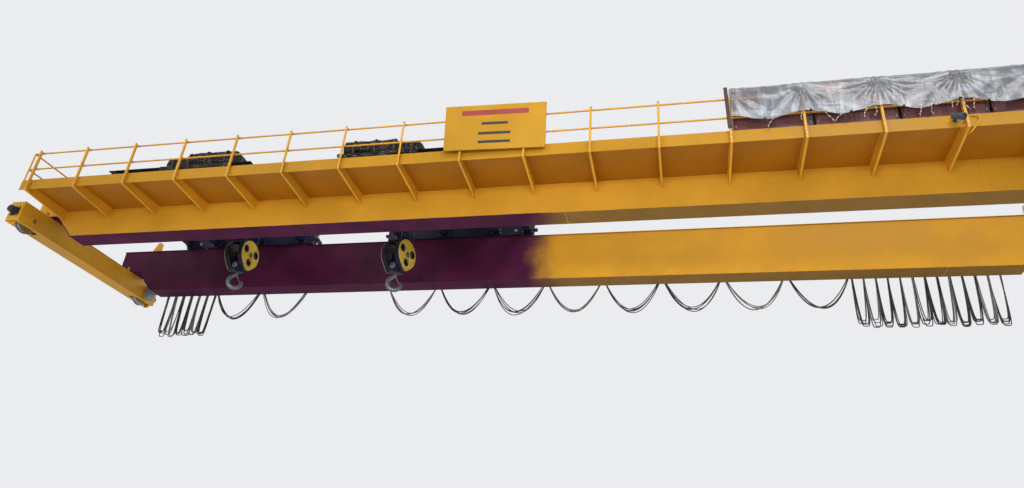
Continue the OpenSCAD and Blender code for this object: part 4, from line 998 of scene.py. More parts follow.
class CRANE_OT_ropes(CraneStep, bpy.types.Operator):
    """Reeves each hoist: four falls, the half turns on the sheaves and the turns on the drum"""

    bl_idname = "crane.ropes"
    bl_label = "Hoist ropes"

    def lay(self, path, radius, strands):
        """Section of a laid rope along a path: a ring whose radius is 0.80 + 0.20 |sin| of half
        the strand number times the angle, turned once every 6.5 diameters of the length."""
        step = np.linalg.norm(np.diff(path, axis=0), axis=1)
        s = np.concatenate([[0], np.cumsum(step)])[:, None]
        a = turns(strands * 4)[None]
        twist = s * (2 * math.pi / (13.0 * radius))
        r = radius * (0.80 + 0.20 * np.abs(np.sin(strands / 2 * a)))
        return flat_points(r, a + twist)[None]

    def execute(self, context):
        sizes = context.scene.crane_sizes
        radius, strands = sizes.rope / 2, sizes.strands
        half, sheave, equal_z, laps, pitch = 0.205, 0.3, 1.80, 12, 0.025
        a = np.linspace(0, math.pi, 48)
        for side in SIDES:
            hook = middle(f"{side}_block_sheaves")
            c, s = math.cos(TURNS[side]), math.sin(TURNS[side])
            falls, low, high = Mould(), Mould(), Mould()
            for sx in (-half, half):
                for sy in (-sheave, sheave):
                    bottom = np.array([hook.x + sx * c - sy * s, sx * s + sy * c, hook.z])
                    top = np.array([hook.x + sx, sy, DRUM_Z if sy > 0 else equal_z])
                    path = top + (bottom - top) * np.linspace(0, 1, 150)[:, None]
                    falls.tubes(path, self.lay(path, radius, strands), up=ACROSS)
                y, z = sheave * np.cos(a), -sheave * np.sin(a)
                path = xyz(hook.x + sx * c - y * s, sx * s + y * c, hook.z + z)
                low.tubes(path, self.lay(path, radius, strands), up=(c, s, 0.0))
            piece(f"{side}_hoist_ropes", falls, "rope",
                  (f"{side}_trolley", f"{side}_hook_block", (hook.x, 0, equal_z - 0.25),
                   (hook.x, 0, hook.z + 0.45)), (f"{side}_ropes",), crease=1.2)
            piece(f"{side}_sheave_turns", low, "rope", f"{side}_hook_block",
                  crease=1.2)
            path = xyz(hook.x + half * np.cos(a), -sheave, equal_z + half * np.sin(a))
            high.tubes(path, self.lay(path, radius, strands), up=ACROSS)
            # Turns on the drum: a helix with one turn to a groove, away from each fall
            t = np.linspace(0, laps, laps * 26)
            for sx in (-1, 1):
                path = xyz(hook.x + sx * (half + pitch * t), sheave * np.cos(2 * math.pi * t),
                           DRUM_Z + sheave * np.sin(2 * math.pi * t))
                high.tubes(path, circle(radius, 8), up=ALONG)
            piece(f"{side}_drum_turns", high, "rope", f"{side}_trolley", crease=1.2)
        return {"FINISHED"}


class CRANE_OT_festoon(CraneStep, bpy.types.Operator):
    """Hangs the cable loops of both festoons on their carriers"""

    bl_idname = "crane.festoon"
    bl_label = "Festoon cables"

    def execute(self, context):
        cable = context.scene.crane_sizes.cable / 2
        rng = np.random.default_rng(8)
        for side, way in SIDES.items():
            opened, parked = {"right": (8, 12), "left": (2, 6)}[side]
            open_gap, parked_gap, travel = 1.625, 0.29, 12.5
            x = middle(f"{side}_tow_arm").x + way * np.concatenate([
                np.arange(opened) * open_gap,
                opened * open_gap + np.arange(parked + 1) * parked_gap])
            count = np.arange(len(x))
            # Share of the trolley's travel that each carrier follows, so that the loops close
            # up evenly
            if side == "right":
                shut = x[0] + travel + (x[-1] - x[0] - travel) * count / count[-1]
                share = (shut - x) / travel
            else:
                share = np.interp(count, [0, opened, count[-1]], [1, 0.15, 0])
            share = np.clip(share, 0, 1)
            # Where a smooth blend, 3 p^2 - 2 p^3, reaches that share
            place = 0.5 - np.sin(np.arcsin(1 - 2 * share) / 3)
            for k in count[:-1]:
                mould = self.loop(x[k], x[k + 1], way, cable, rng)
                slope = (place[k + 1] - place[k]) / (x[k + 1] - x[k])
                start = x[k] - place[k] / slope
                piece(f"{side}_festoon_loop_{k + 1:02d}", mould, "cable" if k % 3 else "cable_grey",
                      ("bridge", f"{side}_trolley", (start, 0, 0), (start + 1 / slope, 0, 0)),
                      (f"{side}_festoon",) if k == 0 else (), crease=1.2)
            for k in count:
                self.carrier(side, k, x[k], share[k], place[k], way)
        return {"FINISHED"}

    def loop(self, start, end, way, cable, rng):
        """Five cables from one carrier to the next, each 3.6 m long. An open loop is a parabola
        whose sag follows from its length; a parked one has straight sides, of power 6."""
        length, top, pitch = 3.6, 0.307, 0.0225
        wide = abs(end - start)
        power = 6 if wide < 0.6 else 2
        sag = wide * math.sqrt(3 / 8 * (length / wide - 1))
        if wide < 0.9:
            sag = (length - 1.2 * wide) / 2
        u = np.linspace(-1, 1, 45)
        bell = 1 - np.abs(u) ** power
        mould = Mould()
        for off in (np.arange(5) - 2.0) * pitch:
            drop = sag * rng.uniform(0.86, 0.985)
            most = 0.09 if wide > 0.9 else 0.05
            lean, swing = rng.uniform(-most, most), rng.uniform(-0.05, 0.05)
            path = xyz(start + way * wide / 2 * (1 + u) + lean * bell,
                       TRACK_Y + off * (1 - 0.45 * bell) + swing * bell, top - drop * bell)
            mould.tubes(path, circle(cable, 8), up=ACROSS)
        return mould

    def carrier(self, side, k, x, share, place, way):
        """One carrier: four rollers in the track, a hanger, a half-round saddle and its clamp."""
        mould = Mould()
        y, saddle = TRACK_Y, 0.320
        # Hanger, bridge piece and clamp plate: half length, half width, low and high
        half_x, half_y, low, high = np.array([[0.010, 0.004, 0.050, 0.090],
                                              [0.045, 0.020, 0.040, 0.056],
                                              [0.060, 0.056, -0.034, -0.028]]).T
        mould.blocks(xyz(x - half_x, y - half_y, saddle + low),
                     xyz(x + half_x, y + half_y, saddle + high), 0.002)
        mould.turned(pin(0.013, 0.004), corners((x, y, saddle + 0.078), 0.030, 0.012, 0),
                     ACROSS, 12)
        # Saddle: an arc of 150 degrees across the cables, 4 mm thick
        a = np.radians(np.linspace(15, 165, 13))
        arc = np.concatenate([flat_points(0.070, a, 0.046), flat_points(0.066, a, 0.042)[::-1]])
        mould.tubes(xyz(x, [y - 0.056, y + 0.056], saddle - 0.006), arc)
        mould.bolts(corners((x, y, saddle - 0.034), 0.050, 0.030, 0), -UP, 0.013, washer=False)
        if share > 0.999:
            body = f"{side}_trolley"
        elif share < 0.001:
            body = "bridge"
        else:
            # Both ends of the blend lie far off, so that the whole carrier has the same share
            reach = 900.0
            start = x + way * place * reach
            body = ("bridge", f"{side}_trolley", (start, 0, 0), (start - way * reach, 0, 0))
        piece(f"{side}_festoon_carrier_{k + 1:02d}", mould, "galvanised", body)


class CRANE_OT_girder_fittings(CraneStep, bpy.types.Operator):
    """Adds the fillet welds, rail clips and joint lugs of the two girders"""

    bl_idname = "crane.girder_fittings"
    bl_label = "Girder fittings"

    def execute(self, context):
        sizes = context.scene.crane_sizes
        self.welds(sizes.weld)
        clips, lugs, bolts = Mould(), Mould(), Mould()
        x, y, side = grid(np.arange(-12.5, 12.6, 0.78), [-GIRDER_Y, GIRDER_Y], [-1, 1])
        foot, top = y + side * 0.0875, GIRDER_TOP + 0.026
        clips.blocks(xyz(x - 0.032, foot - side * 0.022, GIRDER_TOP),
                     xyz(x + 0.032, foot + side * 0.07, top), 0.004)
        bolts.bolts(xyz(x, foot + side * 0.035, top), UP, 0.030)
        piece("rail_clips", clips, "galvanised", "bridge")
        # Lugs that hold each girder down on the end carriages
        ends = np.array([-CARRIAGE_X, CARRIAGE_X])
        x, y, side = grid(np.sort([*(ends - 0.12), *(ends + 0.12)]), [-GIRDER_Y, GIRDER_Y], [-1, 1])
        near, top = y + side * 0.282, CARRIAGE_TOP + 0.030
        lugs.blocks(xyz(x - 0.06, near, CARRIAGE_TOP), xyz(x + 0.06, near + side * 0.10, top),
                    0.004)
        lugs.blocks(xyz(x - 0.006, near - side * 0.03, top - 0.002),
                    xyz(x + 0.006, near + side * 0.07, CARRIAGE_TOP + 0.16), 0.003)
        piece("girder_lugs", lugs, "bridge", "bridge")
        for dx in (-0.034, 0.034):
            bolts.bolts(xyz(x + dx, near + side * 0.06, top), UP, sizes.bolt)
        piece("girder_bolts", bolts, "bolt", "bridge")
        return {"FINISHED"}

    def welds(self, leg):
        """Welds along both flanges, the lower ones up the tapered ends, and the web seams."""
        slope = np.array([[GIRDER_END, CARRIAGE_TOP + 0.014], [13.01, CARRIAGE_TOP + 0.014],
                          [12.35, GIRDER_LOW + 0.014]])
        under = np.concatenate([slope, slope[::-1] * [-1, 1]])
        top = np.array([[GIRDER_END, GIRDER_TOP - 0.016], [-GIRDER_END, GIRDER_TOP - 0.016]])
        for name, y in (("front", -GIRDER_Y), ("rear", GIRDER_Y)):
            mould = Mould()
            for side in (-1, 1):
                for line in (under, top):
                    reach, knots = np.linspace(0, len(line) - 1, 160), np.arange(len(line))
                    path = xyz(np.interp(reach, knots, line[:, 0]), y + side * 0.2505,
                               np.interp(reach, knots, line[:, 1]))
                    mould.tubes(path, circle(leg, 6), up=ACROSS)
                for x in SEAMS[name]:
                    path = xyz(x, y + side * 0.2495, [GIRDER_LOW + 0.03, GIRDER_TOP - 0.03])
                    mould.tubes(path, circle(0.006, 6), up=ACROSS)
            piece(f"{name}_girder_welds", mould, f"{name}_web", "bridge")


class CRANE_OT_walkway_fittings(CraneStep, bpy.types.Operator):
    """Adds the rail clamps, post bolts, cabinet doors, lamp glass and conduit of the walkway"""

    bl_idname = "crane.walkway_fittings"
    bl_label = "Walkway fittings"

    def execute(self, context):
        self.clamps()
        self.bracket_welds()
        self.cabinets()
        self.lamp()
        self.batten()
        return {"FINISHED"}

    def clamps(self):
        """U-bolts round the rails, half a turn and two straight legs into the post, and the
        post's bolts."""
        x, z = grid(POSTS, RAILS_Z)
        clamps, bolts = Mould(), Mould()
        a = np.linspace(-0.5 * math.pi, 0.5 * math.pi, 13)
        radius, leg = 0.026, -0.030
        path = xyz(0.0, np.concatenate([[leg], radius * np.cos(a), [leg]]),
                   np.concatenate([[-radius], radius * np.sin(a), [radius]]))
        for shift in (-0.014, 0.014):
            centre = xyz(x + shift, TUBE_Y, z)
            clamps.tubes(centre[:, None] + path[None], circle(0.004, 6), up=ALONG)
        piece("rail_clamps", clamps, "galvanised", "bridge")
        for z in (0.760, 0.860, 0.965, *sorted(RAILS_Z)):
            bolts.bolts(xyz(POSTS, POST_Y, z), -ACROSS, 0.019)
        piece("post_bolts", bolts, "bolt", "bridge")

    def bracket_welds(self):
        """Fillet welds where the brackets meet the web and the floor."""
        welds = Mould()
        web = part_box("walkway_brackets")[1].y
        for x in (POSTS - 0.0255, POSTS - 0.0165):
            for y, z in (((web - 0.001, web - 0.001), (0.560, 0.856)),
                         ((web, -3.40), (0.859, 0.859))):
                welds.tubes(xyz(x[:, None], y, z), circle(0.005, 6), up=ALONG)
        piece("bracket_welds", welds, "bracket", "bridge")

    def cabinets(self):
        """Two doors to a cabinet: a rounded panel, louvres as bent fins, hinges and a handle."""
        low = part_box("walkway_cabinets")[0]
        y, width, gap, door = low.y, 1.6, 0.06, 0.708
        starts = low.x + np.arange(4) * (width + gap)
        x0 = (starts[:, None] + np.array([0.046, 0.846])).ravel()
        doors, metal = Mould(), Mould()
        doors.blocks(xyz(x0, y + 0.0005, WALK_TOP + 0.166),
                     xyz(x0 + door, y + 0.0115, WALK_TOP + 1.264), 0.004, axis=1)
        a = np.linspace(0, math.pi, 7)
        section = flat_points(0.012, a, 0.009)[:, ::-1]
        for base in (0.26, 1.02):
            x, z = grid(x0 + 0.20, WALK_TOP + base + np.arange(7) * 0.032)
            doors.tubes(xyz(x[:, None] + [0.0, 0.30], y, z[:, None]), section)
        opens_left = np.tile([True, False], 4)
        hinge = x0 + np.where(opens_left, 0.0, door)
        hand = x0 + np.where(opens_left, 0.64, 0.068)
        for z in (1.16, 1.60, 2.03):
            metal.turned(pin(0.008, 0.035), xyz(hinge, y - 0.006, z), UP, 10)
        grip = xyz(0.0, [0.002, -0.020, -0.026, -0.026, -0.020, 0.002],
                   [-0.07, -0.065, -0.045, 0.045, 0.065, 0.07])
        metal.tubes(xyz(hand, y, 1.55)[:, None] + grip[None], circle(0.006, 8), up=ALONG)
        piece("cabinet_doors", doors, "door", "bridge")
        piece("cabinet_handles", metal, "galvanised", "bridge")

    def lamp(self):
        """Lamp: glass with a crowned front, a bezel of bolts and ribs behind, and the bent
        conduit beside it, from the edge plate down to the bracket."""
        centre = np.array([middle("walkway_lamp").x, -3.595, 0.866])
        aim = np.array([0.5265, -0.6275, -0.5736])
        glass, metal = Mould(), Mould()
        glass.turned([(0, 0.108), (0.030, 0.1075), (0.050, 0.105), (0.059, 0.101), (0.059, 0.096),
                      (0, 0.094)], centre, aim, 32)
        for h in np.linspace(-0.105, 0.02, 7):
            metal.turned(hoop(0.058, h, 0.012, 0.007, 0.001), centre, aim, 32)
        first, second = across(aim[None])
        turn = turns(8)[:, None]
        bezel = centre + aim * 0.1365 + (first * np.cos(turn) + second * np.sin(turn)) * 0.067
        metal.bolts(bezel, aim, 0.009, washer=False)
        piece("lamp_glass", glass, "glass", "bridge")
        piece("lamp_ribs", metal, "lamp", "bridge")
        tube = smooth_path([[9.775, -3.410, 0.93], [9.84, -3.435, 0.965], [9.92, -3.455, 0.965],
                            [9.985, -3.47, 0.91], [9.97, -3.47, 0.83], [9.911, -3.46, 0.739],
                            [9.84, -3.455, 0.645], [9.79, -3.43, 0.585], [9.77, -3.36, 0.60],
                            [9.765, -3.29, 0.64]], 56)
        conduit = Mould().tubes(tube, circle(0.013, 12), up=(0.0, 0.6, 0.8))
        piece("lamp_conduit", conduit, "rail_paint", "bridge")

    def batten(self):
        """Wooden batten in front of the first post, which holds the end of the cover."""
        half_width, half_depth = 0.04, 0.0095
        lean = [[5.235, POST_Y - 0.009, 1.02], [5.200, POST_Y - 0.009, 2.12]]
        board = np.array([[-1, -1], [1, -1], [1, 1], [-1, 1]]) * [half_width, half_depth]
        wood = Mould().tubes(lean, board, up=ACROSS)
        piece("cover_batten", wood, "post_batten", "bridge")


class CRANE_OT_sign(CraneStep, bpy.types.Operator):
    """Trims the board with a rolled rim, rivets and plain painted bands"""

    bl_idname = "crane.sign"
    bl_label = "Sign board"

    def execute(self, context):
        half, high, face = 1.195, 1.09, -0.030
        # Rim: a rounded bead carried once round the board, with mitred corners
        corner = np.array([[-half, 0], [half, 0], [half, high], [-half, high]])
        inset = np.array([[1, 1], [-1, 1], [-1, -1], [1, -1]])
        a = turns(8)
        bead = corner[:, None] + inset[:, None] * (0.018 + 0.015 * np.cos(a))[None, :, None]
        rim = Mould().sheets(xyz(bead[..., 0], face + 0.0025 * np.sin(a), bead[..., 1]), True, True)
        x, z = grid(np.linspace(-1.15, 1.15, 9), [0.045, 1.045])
        dome = [(0.009 * math.sin(t), 0.005 * math.cos(t)) for t in np.linspace(0, math.pi / 2, 4)]
        rim.turned(dome + [(0, 0)], xyz(x, face, z), -ACROSS, 10)
        # Plain bands: half width, lower and upper edge of each
        band, bars = (Mould().blocks([[-w, face - 0.0012, low] for w, low, top in rows],
                                     [[w, face + 0.001, top] for w, low, top in rows],
                                     0.0006, axis=1)
                      for rows in ([(0.79, 0.840, 0.965)],
                                   [(0.31, 0.60, 0.665), (0.38, 0.36, 0.425), (0.38, 0.15, 0.215)]))
        for name, mould, finish, crease in (("sign_rim", rim, "sign", 0.9),
                                            ("sign_band", band, "sign_band", 0.65),
                                            ("sign_bars", bars, "sign_bar", 0.65)):
            piece(name, self.hung(mould), finish, "bridge", crease=crease)
        return {"FINISHED"}

    def hung(self, mould):
        """Hangs what is drawn on the upright board where the board is: rolled by 1.5 degrees,
        with its lower corner lifted by half the width, and leaned back by 14 degrees."""
        lean, roll, width = math.radians(14.0), math.radians(1.5), 2.39
        spin = np.array([[math.cos(roll), 0, math.sin(roll)], [0, 1, 0],
                         [-math.sin(roll), 0, math.cos(roll)]])
        tilt = np.array([[1, 0, 0], [0, math.cos(lean), -math.sin(lean)],
                         [0, math.sin(lean), math.cos(lean)]])
        mould.moved(spin, [0, 0, width / 2 * math.sin(roll)])
        return mould.moved(tilt, [0.058, POST_Y - 0.0003, 0.865])


class CRANE_OT_carriage_fittings(CraneStep, bpy.types.Operator):
    """Adds wheel cap bolts, rail sweeps, buffer bolts, lips and the drives' boxes and leads"""

    bl_idname = "crane.carriage_fittings"
    bl_label = "End carriage fittings"

    def execute(self, context):
        self.bolts, self.plates, self.cables, self.cowls = (Mould() for _ in range(4))
        for sx in (-1, 1):
            for sy in (-1, 1):
                self.wheel(sx, sy)
            self.beam(sx)
            self.drive(sx)
        piece("carriage_plates", self.plates, "bridge", "bridge")
        piece("carriage_bolts", self.bolts, "bolt", "bridge")
        piece("drive_cowls", self.cowls, "cowl", "bridge")
        piece("drive_leads", self.cables, "cable", "bridge")
        return {"FINISHED"}

    def wheel(self, sx, sy):
        """Caps on the wheel's axle where no drive stands, rail sweep and buffer bolts."""
        for face in (-1, 1):
            if sy > 0 and face == -sx:
                continue
            centre, out = (sx * CARRIAGE_X + face * 0.250, sy * WHEEL_Y, WHEEL_Z), face * ALONG
            self.bolts.bolts(ring(centre, 0.108, turns(8, math.pi / 8)), out, 0.013)
            self.plates.turned([(0.061, 0.0), (0.061, 0.007), (0.066, 0.009), (0.090, 0.007),
                                (0.093, 0.0), (0.061, 0.0)], centre, out, 32)
        self.plates.blocks([sx * CARRIAGE_X - 0.09, sy * 2.84 - 0.012, 0.030],
                           [sx * CARRIAGE_X + 0.09, sy * 2.84 + 0.012, 0.112], 0.004)
        self.bolts.bolts(corners((sx * CARRIAGE_X, sy * 2.920, 0.40), 0.1, 0, 0.1),
                         sy * ACROSS, 0.028)

    def beam(self, sx):
        """Top and bottom lips of the carriage and the bolted hatches in its sides."""
        for low in (0.110, 0.680):
            self.plates.blocks([[sx * CARRIAGE_X + x, -2.9, low] for x in (-0.232, 0.209)],
                               [[sx * CARRIAGE_X + x, 2.9, low + 0.010] for x in (-0.209, 0.232)],
                               0.002, axis=1)
        hatch = np.array([-0.75, 0.0, 0.75])
        y, z = grid(hatch, [0.295, 0.505])
        for face in (-1, 1):
            x = sx * CARRIAGE_X + face * 0.210
            self.plates.blocks(xyz(x, hatch - 0.16, 0.27),
                               xyz(x + face * 0.006, hatch + 0.16, 0.53), 0.002, axis=0)
            for dy in (-0.13, 0.13):
                self.bolts.bolts(xyz(x + face * 0.006, y + dy, z), face * ALONG, 0.017)

    def drive(self, sx):
        """Motor: terminal box, fan cowl with slots as rings, lead to a box on the girder."""
        axis = -sx * ALONG
        motor = np.array([sx * (CARRIAGE_X - 0.2603), WHEEL_Y, WHEEL_Z + 0.13]) + axis * 0.15
        box, fan = motor + axis * 0.20 + [0, 0, 0.125], motor + axis * 0.478
        self.plates.blocks(box - [0.07, 0.06, 0.0], box + [0.07, 0.06, 0.085], 0.006)
        self.cowls.turned([(0, 0.012), (0.06, 0.012), (0.093, 0.006), (0.100, -0.012),
                           (0.100, -0.105), (0.094, -0.105), (0.094, -0.01), (0, 0.0)],
                          fan, axis, 32)
        for r in (0.03, 0.05, 0.07):
            self.cowls.turned(hoop(r, 0.011, 0.006, 0.005), fan, axis, 32)
        end = np.array([sx * 12.9, 2.08, 0.95])
        lead = smooth_path([box + [0, -0.06, 0.04], box + [0, -0.12, 0.04],
                            box + [0, -0.20, 0.14], end + [0, 0.06, -0.10], end], 40)
        self.cables.tubes(lead, circle(0.011, 10), up=ALONG)
        self.plates.blocks(end - [0.09, 0.065, 0.0], end + [0.09, 0.045, 0.22], 0.006)
        self.bolts.bolts(corners(end + [0, 0.045, 0.11], 0.07, 0, 0.09), ACROSS, 0.010,
                         washer=False)


class CRANE_OT_trolley_fittings(CraneStep, bpy.types.Operator):
    """Adds cap bolts, joint plates, gearbox and drum bolts, motor boxes, cowls and leads"""

    bl_idname = "crane.trolley_fittings"
    bl_label = "Trolley fittings"

    def execute(self, context):
        for side in SIDES:
            self.side = side
            self.out = SIDES[side] * ALONG
            self.bolts, self.plates, self.grey, self.cowls, self.cables = (
                Mould() for _ in range(5))
            self.frame_joints()
            self.drum_and_gearbox()
            self.motor()
            self.leads()
            self.deck_trim()
            for name, mould, finish, slot in (
                    ("trolley_plates", self.plates, "trolley", "trolley_navy"),
                    ("trolley_bolts", self.bolts, "bolt", "wheel_steel"),
                    ("gear_fittings", self.grey, "drive", "drive_grey"),
                    ("motor_cowls", self.cowls, "cowl", "drive_grey"),
                    ("trolley_leads", self.cables, "cable", "cable_rubber")):
                piece(f"{side}_{name}", mould, finish, f"{side}_trolley")
        return {"FINISHED"}

    def at(self, points):
        """Points given from the middle of the trolley, placed on the bridge."""
        points = np.atleast_2d(np.asarray(points, float)).copy()
        points[..., 0] = trolley_x(self.side, points[..., 0])
        return points

    def bolt(self, points, out, flats, washer=True):
        self.bolts.bolts(self.at(points), out, flats, washer)

    def blocks(self, mould, low, high, edge=0.003, axis=2):
        mould.blocks(self.at(low), self.at(high), edge, axis)

    def frame_joints(self):
        """Wheel caps and bearing plates, cross beam joints and buffer plates."""
        wheels, beams, buffer_z = (-1.75, 1.75), (-1.85, -0.45, 1.15, 2.1), 1.76
        for sy in (-1, 1):
            out = sy * ACROSS
            inner, outer = sy * 1.885, sy * 1.895
            for lx in wheels:
                self.bolt(ring((lx, sy * 1.9153, AXLE_Z), 0.055, turns(6), 1), out, 0.017)
                self.blocks(self.plates, [lx - 0.15, inner, 1.59], [lx + 0.15, outer, 1.83],
                            0.004, 1)
                self.bolt(corners((lx, outer, AXLE_Z), 0.125, 0, 0.09), out, 0.020)
            inner, outer = sy * 1.631, sy * 1.645
            for lx in beams:
                self.blocks(self.plates, [lx - 0.15, inner, 1.60], [lx + 0.15, outer, 1.94],
                            0.004, 1)
                self.bolt([[lx + dx, inner, z] for dx in (-0.13, 0.13)
                           for z in (1.64, 1.74, 1.84, 1.92)], -out, 0.022)
            for face in (-1, 1):
                x, y = face * (TROLLEY_END + 0.012), sy * GIRDER_Y
                self.blocks(self.plates, [face * TROLLEY_END, y - 0.105, buffer_z - 0.105],
                            [x, y + 0.105, buffer_z + 0.105], 0.003, 0)
                self.bolt(corners((x, y, buffer_z), 0, 0.085, 0.085), self.out * face, 0.016)

    def drum_and_gearbox(self):
        """Bolt rings of the drum and its bearing, bolts round the gearbox's joint, its caps,
        inspection plate and breather."""
        # Place along the trolley, radius, count, direction and flats of each bolt ring
        for x, radius, count, face, flats in (
                (-1.674, 0.22, 12, -1, 0.024), (0.774, 0.22, 12, 1, 0.024),
                (-1.905, 0.103, 8, -1, 0.018), (-1.795, 0.103, 8, 1, 0.018),
                (1.124, 0.097, 8, 1, 0.016)):
            self.bolt(ring((x, 0.0, DRUM_Z), radius, turns(count)), self.out * face, flats)
        self.grey.turned([(0, 0), (0.066, 0), (0.074, 0.004), (0.074, 0.018), (0.060, 0.026),
                          (0, 0.028)], self.at([-1.905, 0.0, DRUM_Z]), -self.out, 32)
        self.grey.turned([(0, 0), (0.105, 0), (0.110, 0.005), (0.110, 0.020), (0.09, 0.030),
                          (0, 0.032)], self.at([1.104, 0.0, DRUM_Z]), self.out, 40)
        # Joint: half rings round the drum's and the motor's shaft, with lines between them
        big, small = np.radians(np.linspace(97, 263, 10)), np.radians(np.linspace(-83, 83, 8))
        line = np.stack([np.linspace(0.06, 0.68, 5), np.linspace(0.33, 0.26, 5)], -1)
        y, z = np.concatenate([flat_points(0.335, big), flat_points(0.245, small) + [MOTOR_Y, 0],
                               line, line * [1, -1]]).T
        for x, face in ((0.966, 1), (0.942, -1)):
            self.bolt(xyz(x, y, DRUM_Z + z), self.out * face, 0.022)
        top = DRUM_Z + 0.29
        self.blocks(self.grey, [0.86, 0.16, top], [0.93, 0.34, top + 0.045], 0.004)
        self.grey.turned([(0, 0), (0.016, 0), (0.016, 0.02), (0.026, 0.022), (0.026, 0.048),
                          (0.018, 0.058), (0, 0.058)], self.at([1.03, -0.12, top]), UP, 20)
        # Feet of the drum's bearing stand
        self.bolt(corners((-1.85, 0, 1.9303), 0.022, 0.205, 0), UP, 0.024)

    def motor(self):
        """Terminal box with a lid, fan cowl with ring slots, brake housing with ribs."""
        box = np.array([0.50, MOTOR_Y, DRUM_Z])
        self.blocks(self.grey, box + [-0.14, -0.10, 0.196], box + [0.14, 0.10, 0.300], 0.008)
        self.blocks(self.grey, box + [-0.15, -0.11, 0.300], box + [0.15, 0.11, 0.318], 0.005)
        self.bolt(corners(box + [0, 0, 0.318], 0.13, 0.09, 0), UP, 0.012, washer=False)
        fan, brake = (self.at([x, MOTOR_Y, DRUM_Z]) for x in (0.084, 1.226))
        self.cowls.turned([(0, 0.030), (0.10, 0.028), (0.185, 0.016), (0.216, -0.004),
                           (0.220, -0.02), (0.220, -0.13), (0.214, -0.13), (0.214, -0.004),
                           (0, 0)], fan, -self.out, 48)
        for r in np.linspace(0.03, 0.17, 8):
            self.cowls.turned(hoop(r, 0.028 - 0.3 * r * r, 0.008, 0.006), fan, -self.out, 40)
        self.cowls.turned([(0, 0), (0.150, 0), (0.152, 0.012), (0.140, 0.022), (0.08, 0.030),
                           (0, 0.032)], brake, self.out, 40)
        for h in (-0.10, -0.07, -0.04):
            self.cowls.turned(hoop(0.148, h, 0.010, 0.012, 0.002), brake, self.out, 40)

    def leads(self):
        """Joint box on the tow arm's root, four leads up the arm and the motor's lead."""
        arm, track = -2.218, TRACK_Y + 0.072
        self.blocks(self.grey, [arm + 0.06, 1.760, 1.968], [arm + 0.40, 1.915, 2.190], 0.010)
        self.blocks(self.grey, [arm + 0.05, 1.750, 2.190], [arm + 0.41, 1.925, 2.204], 0.004)
        for off in (np.arange(4) - 1.5) * 0.026:
            lead = smooth_path([[arm + off, TRACK_Y + 0.02, 0.31], [arm + off, TRACK_Y + 0.09, 0.29],
                                [arm + off, track, 0.42], [arm + off, track, 1.62],
                                [arm + off, TRACK_Y + 0.05, 1.83], [arm + off + 0.03, 2.06, 1.90],
                                [arm + off + 0.14, 1.98, 1.93],
                                [arm + off * 0.8 + 0.21, 1.955, 2.00]], 90)
            self.cables.tubes(self.at(lead), circle(0.0115, 8), up=(0.3, 0.2, 0.1))
        lead = smooth_path([[0.50, 0.87, DRUM_Z + 0.25], [0.50, 0.96, DRUM_Z + 0.24],
                            [0.48, 1.20, DRUM_Z + 0.05], [0.46, 1.44, 2.02],
                            [0.40, 1.50, 1.982], [0.10, 1.52, 1.980], [-1.60, 1.52, 1.980],
                            [-1.95, 1.60, 1.980], [-1.98, 1.86, 2.00], [-1.98, 1.905, 2.06]], 120)
        self.cables.tubes(self.at(lead), circle(0.013, 10), up=(0.1, 0.3, 1.0))

    def deck_trim(self):
        """Kerb of the rear deck and lifting lugs at the corners."""
        deck_top = 1.966
        self.blocks(self.plates, [-TROLLEY_END, 1.937, deck_top],
                    [TROLLEY_END, 1.945, deck_top + 0.05], 0.002, 0)
        a = np.linspace(0, math.pi, 15)
        for lx in (-2.0, 2.0):
            for sy in (-1, 1):
                eye = xyz(lx, sy * 1.56 + 0.045 * np.cos(a), deck_top + 0.07 * np.sin(a))
                self.plates.tubes(self.at(eye), circle(0.010, 8), up=ALONG)


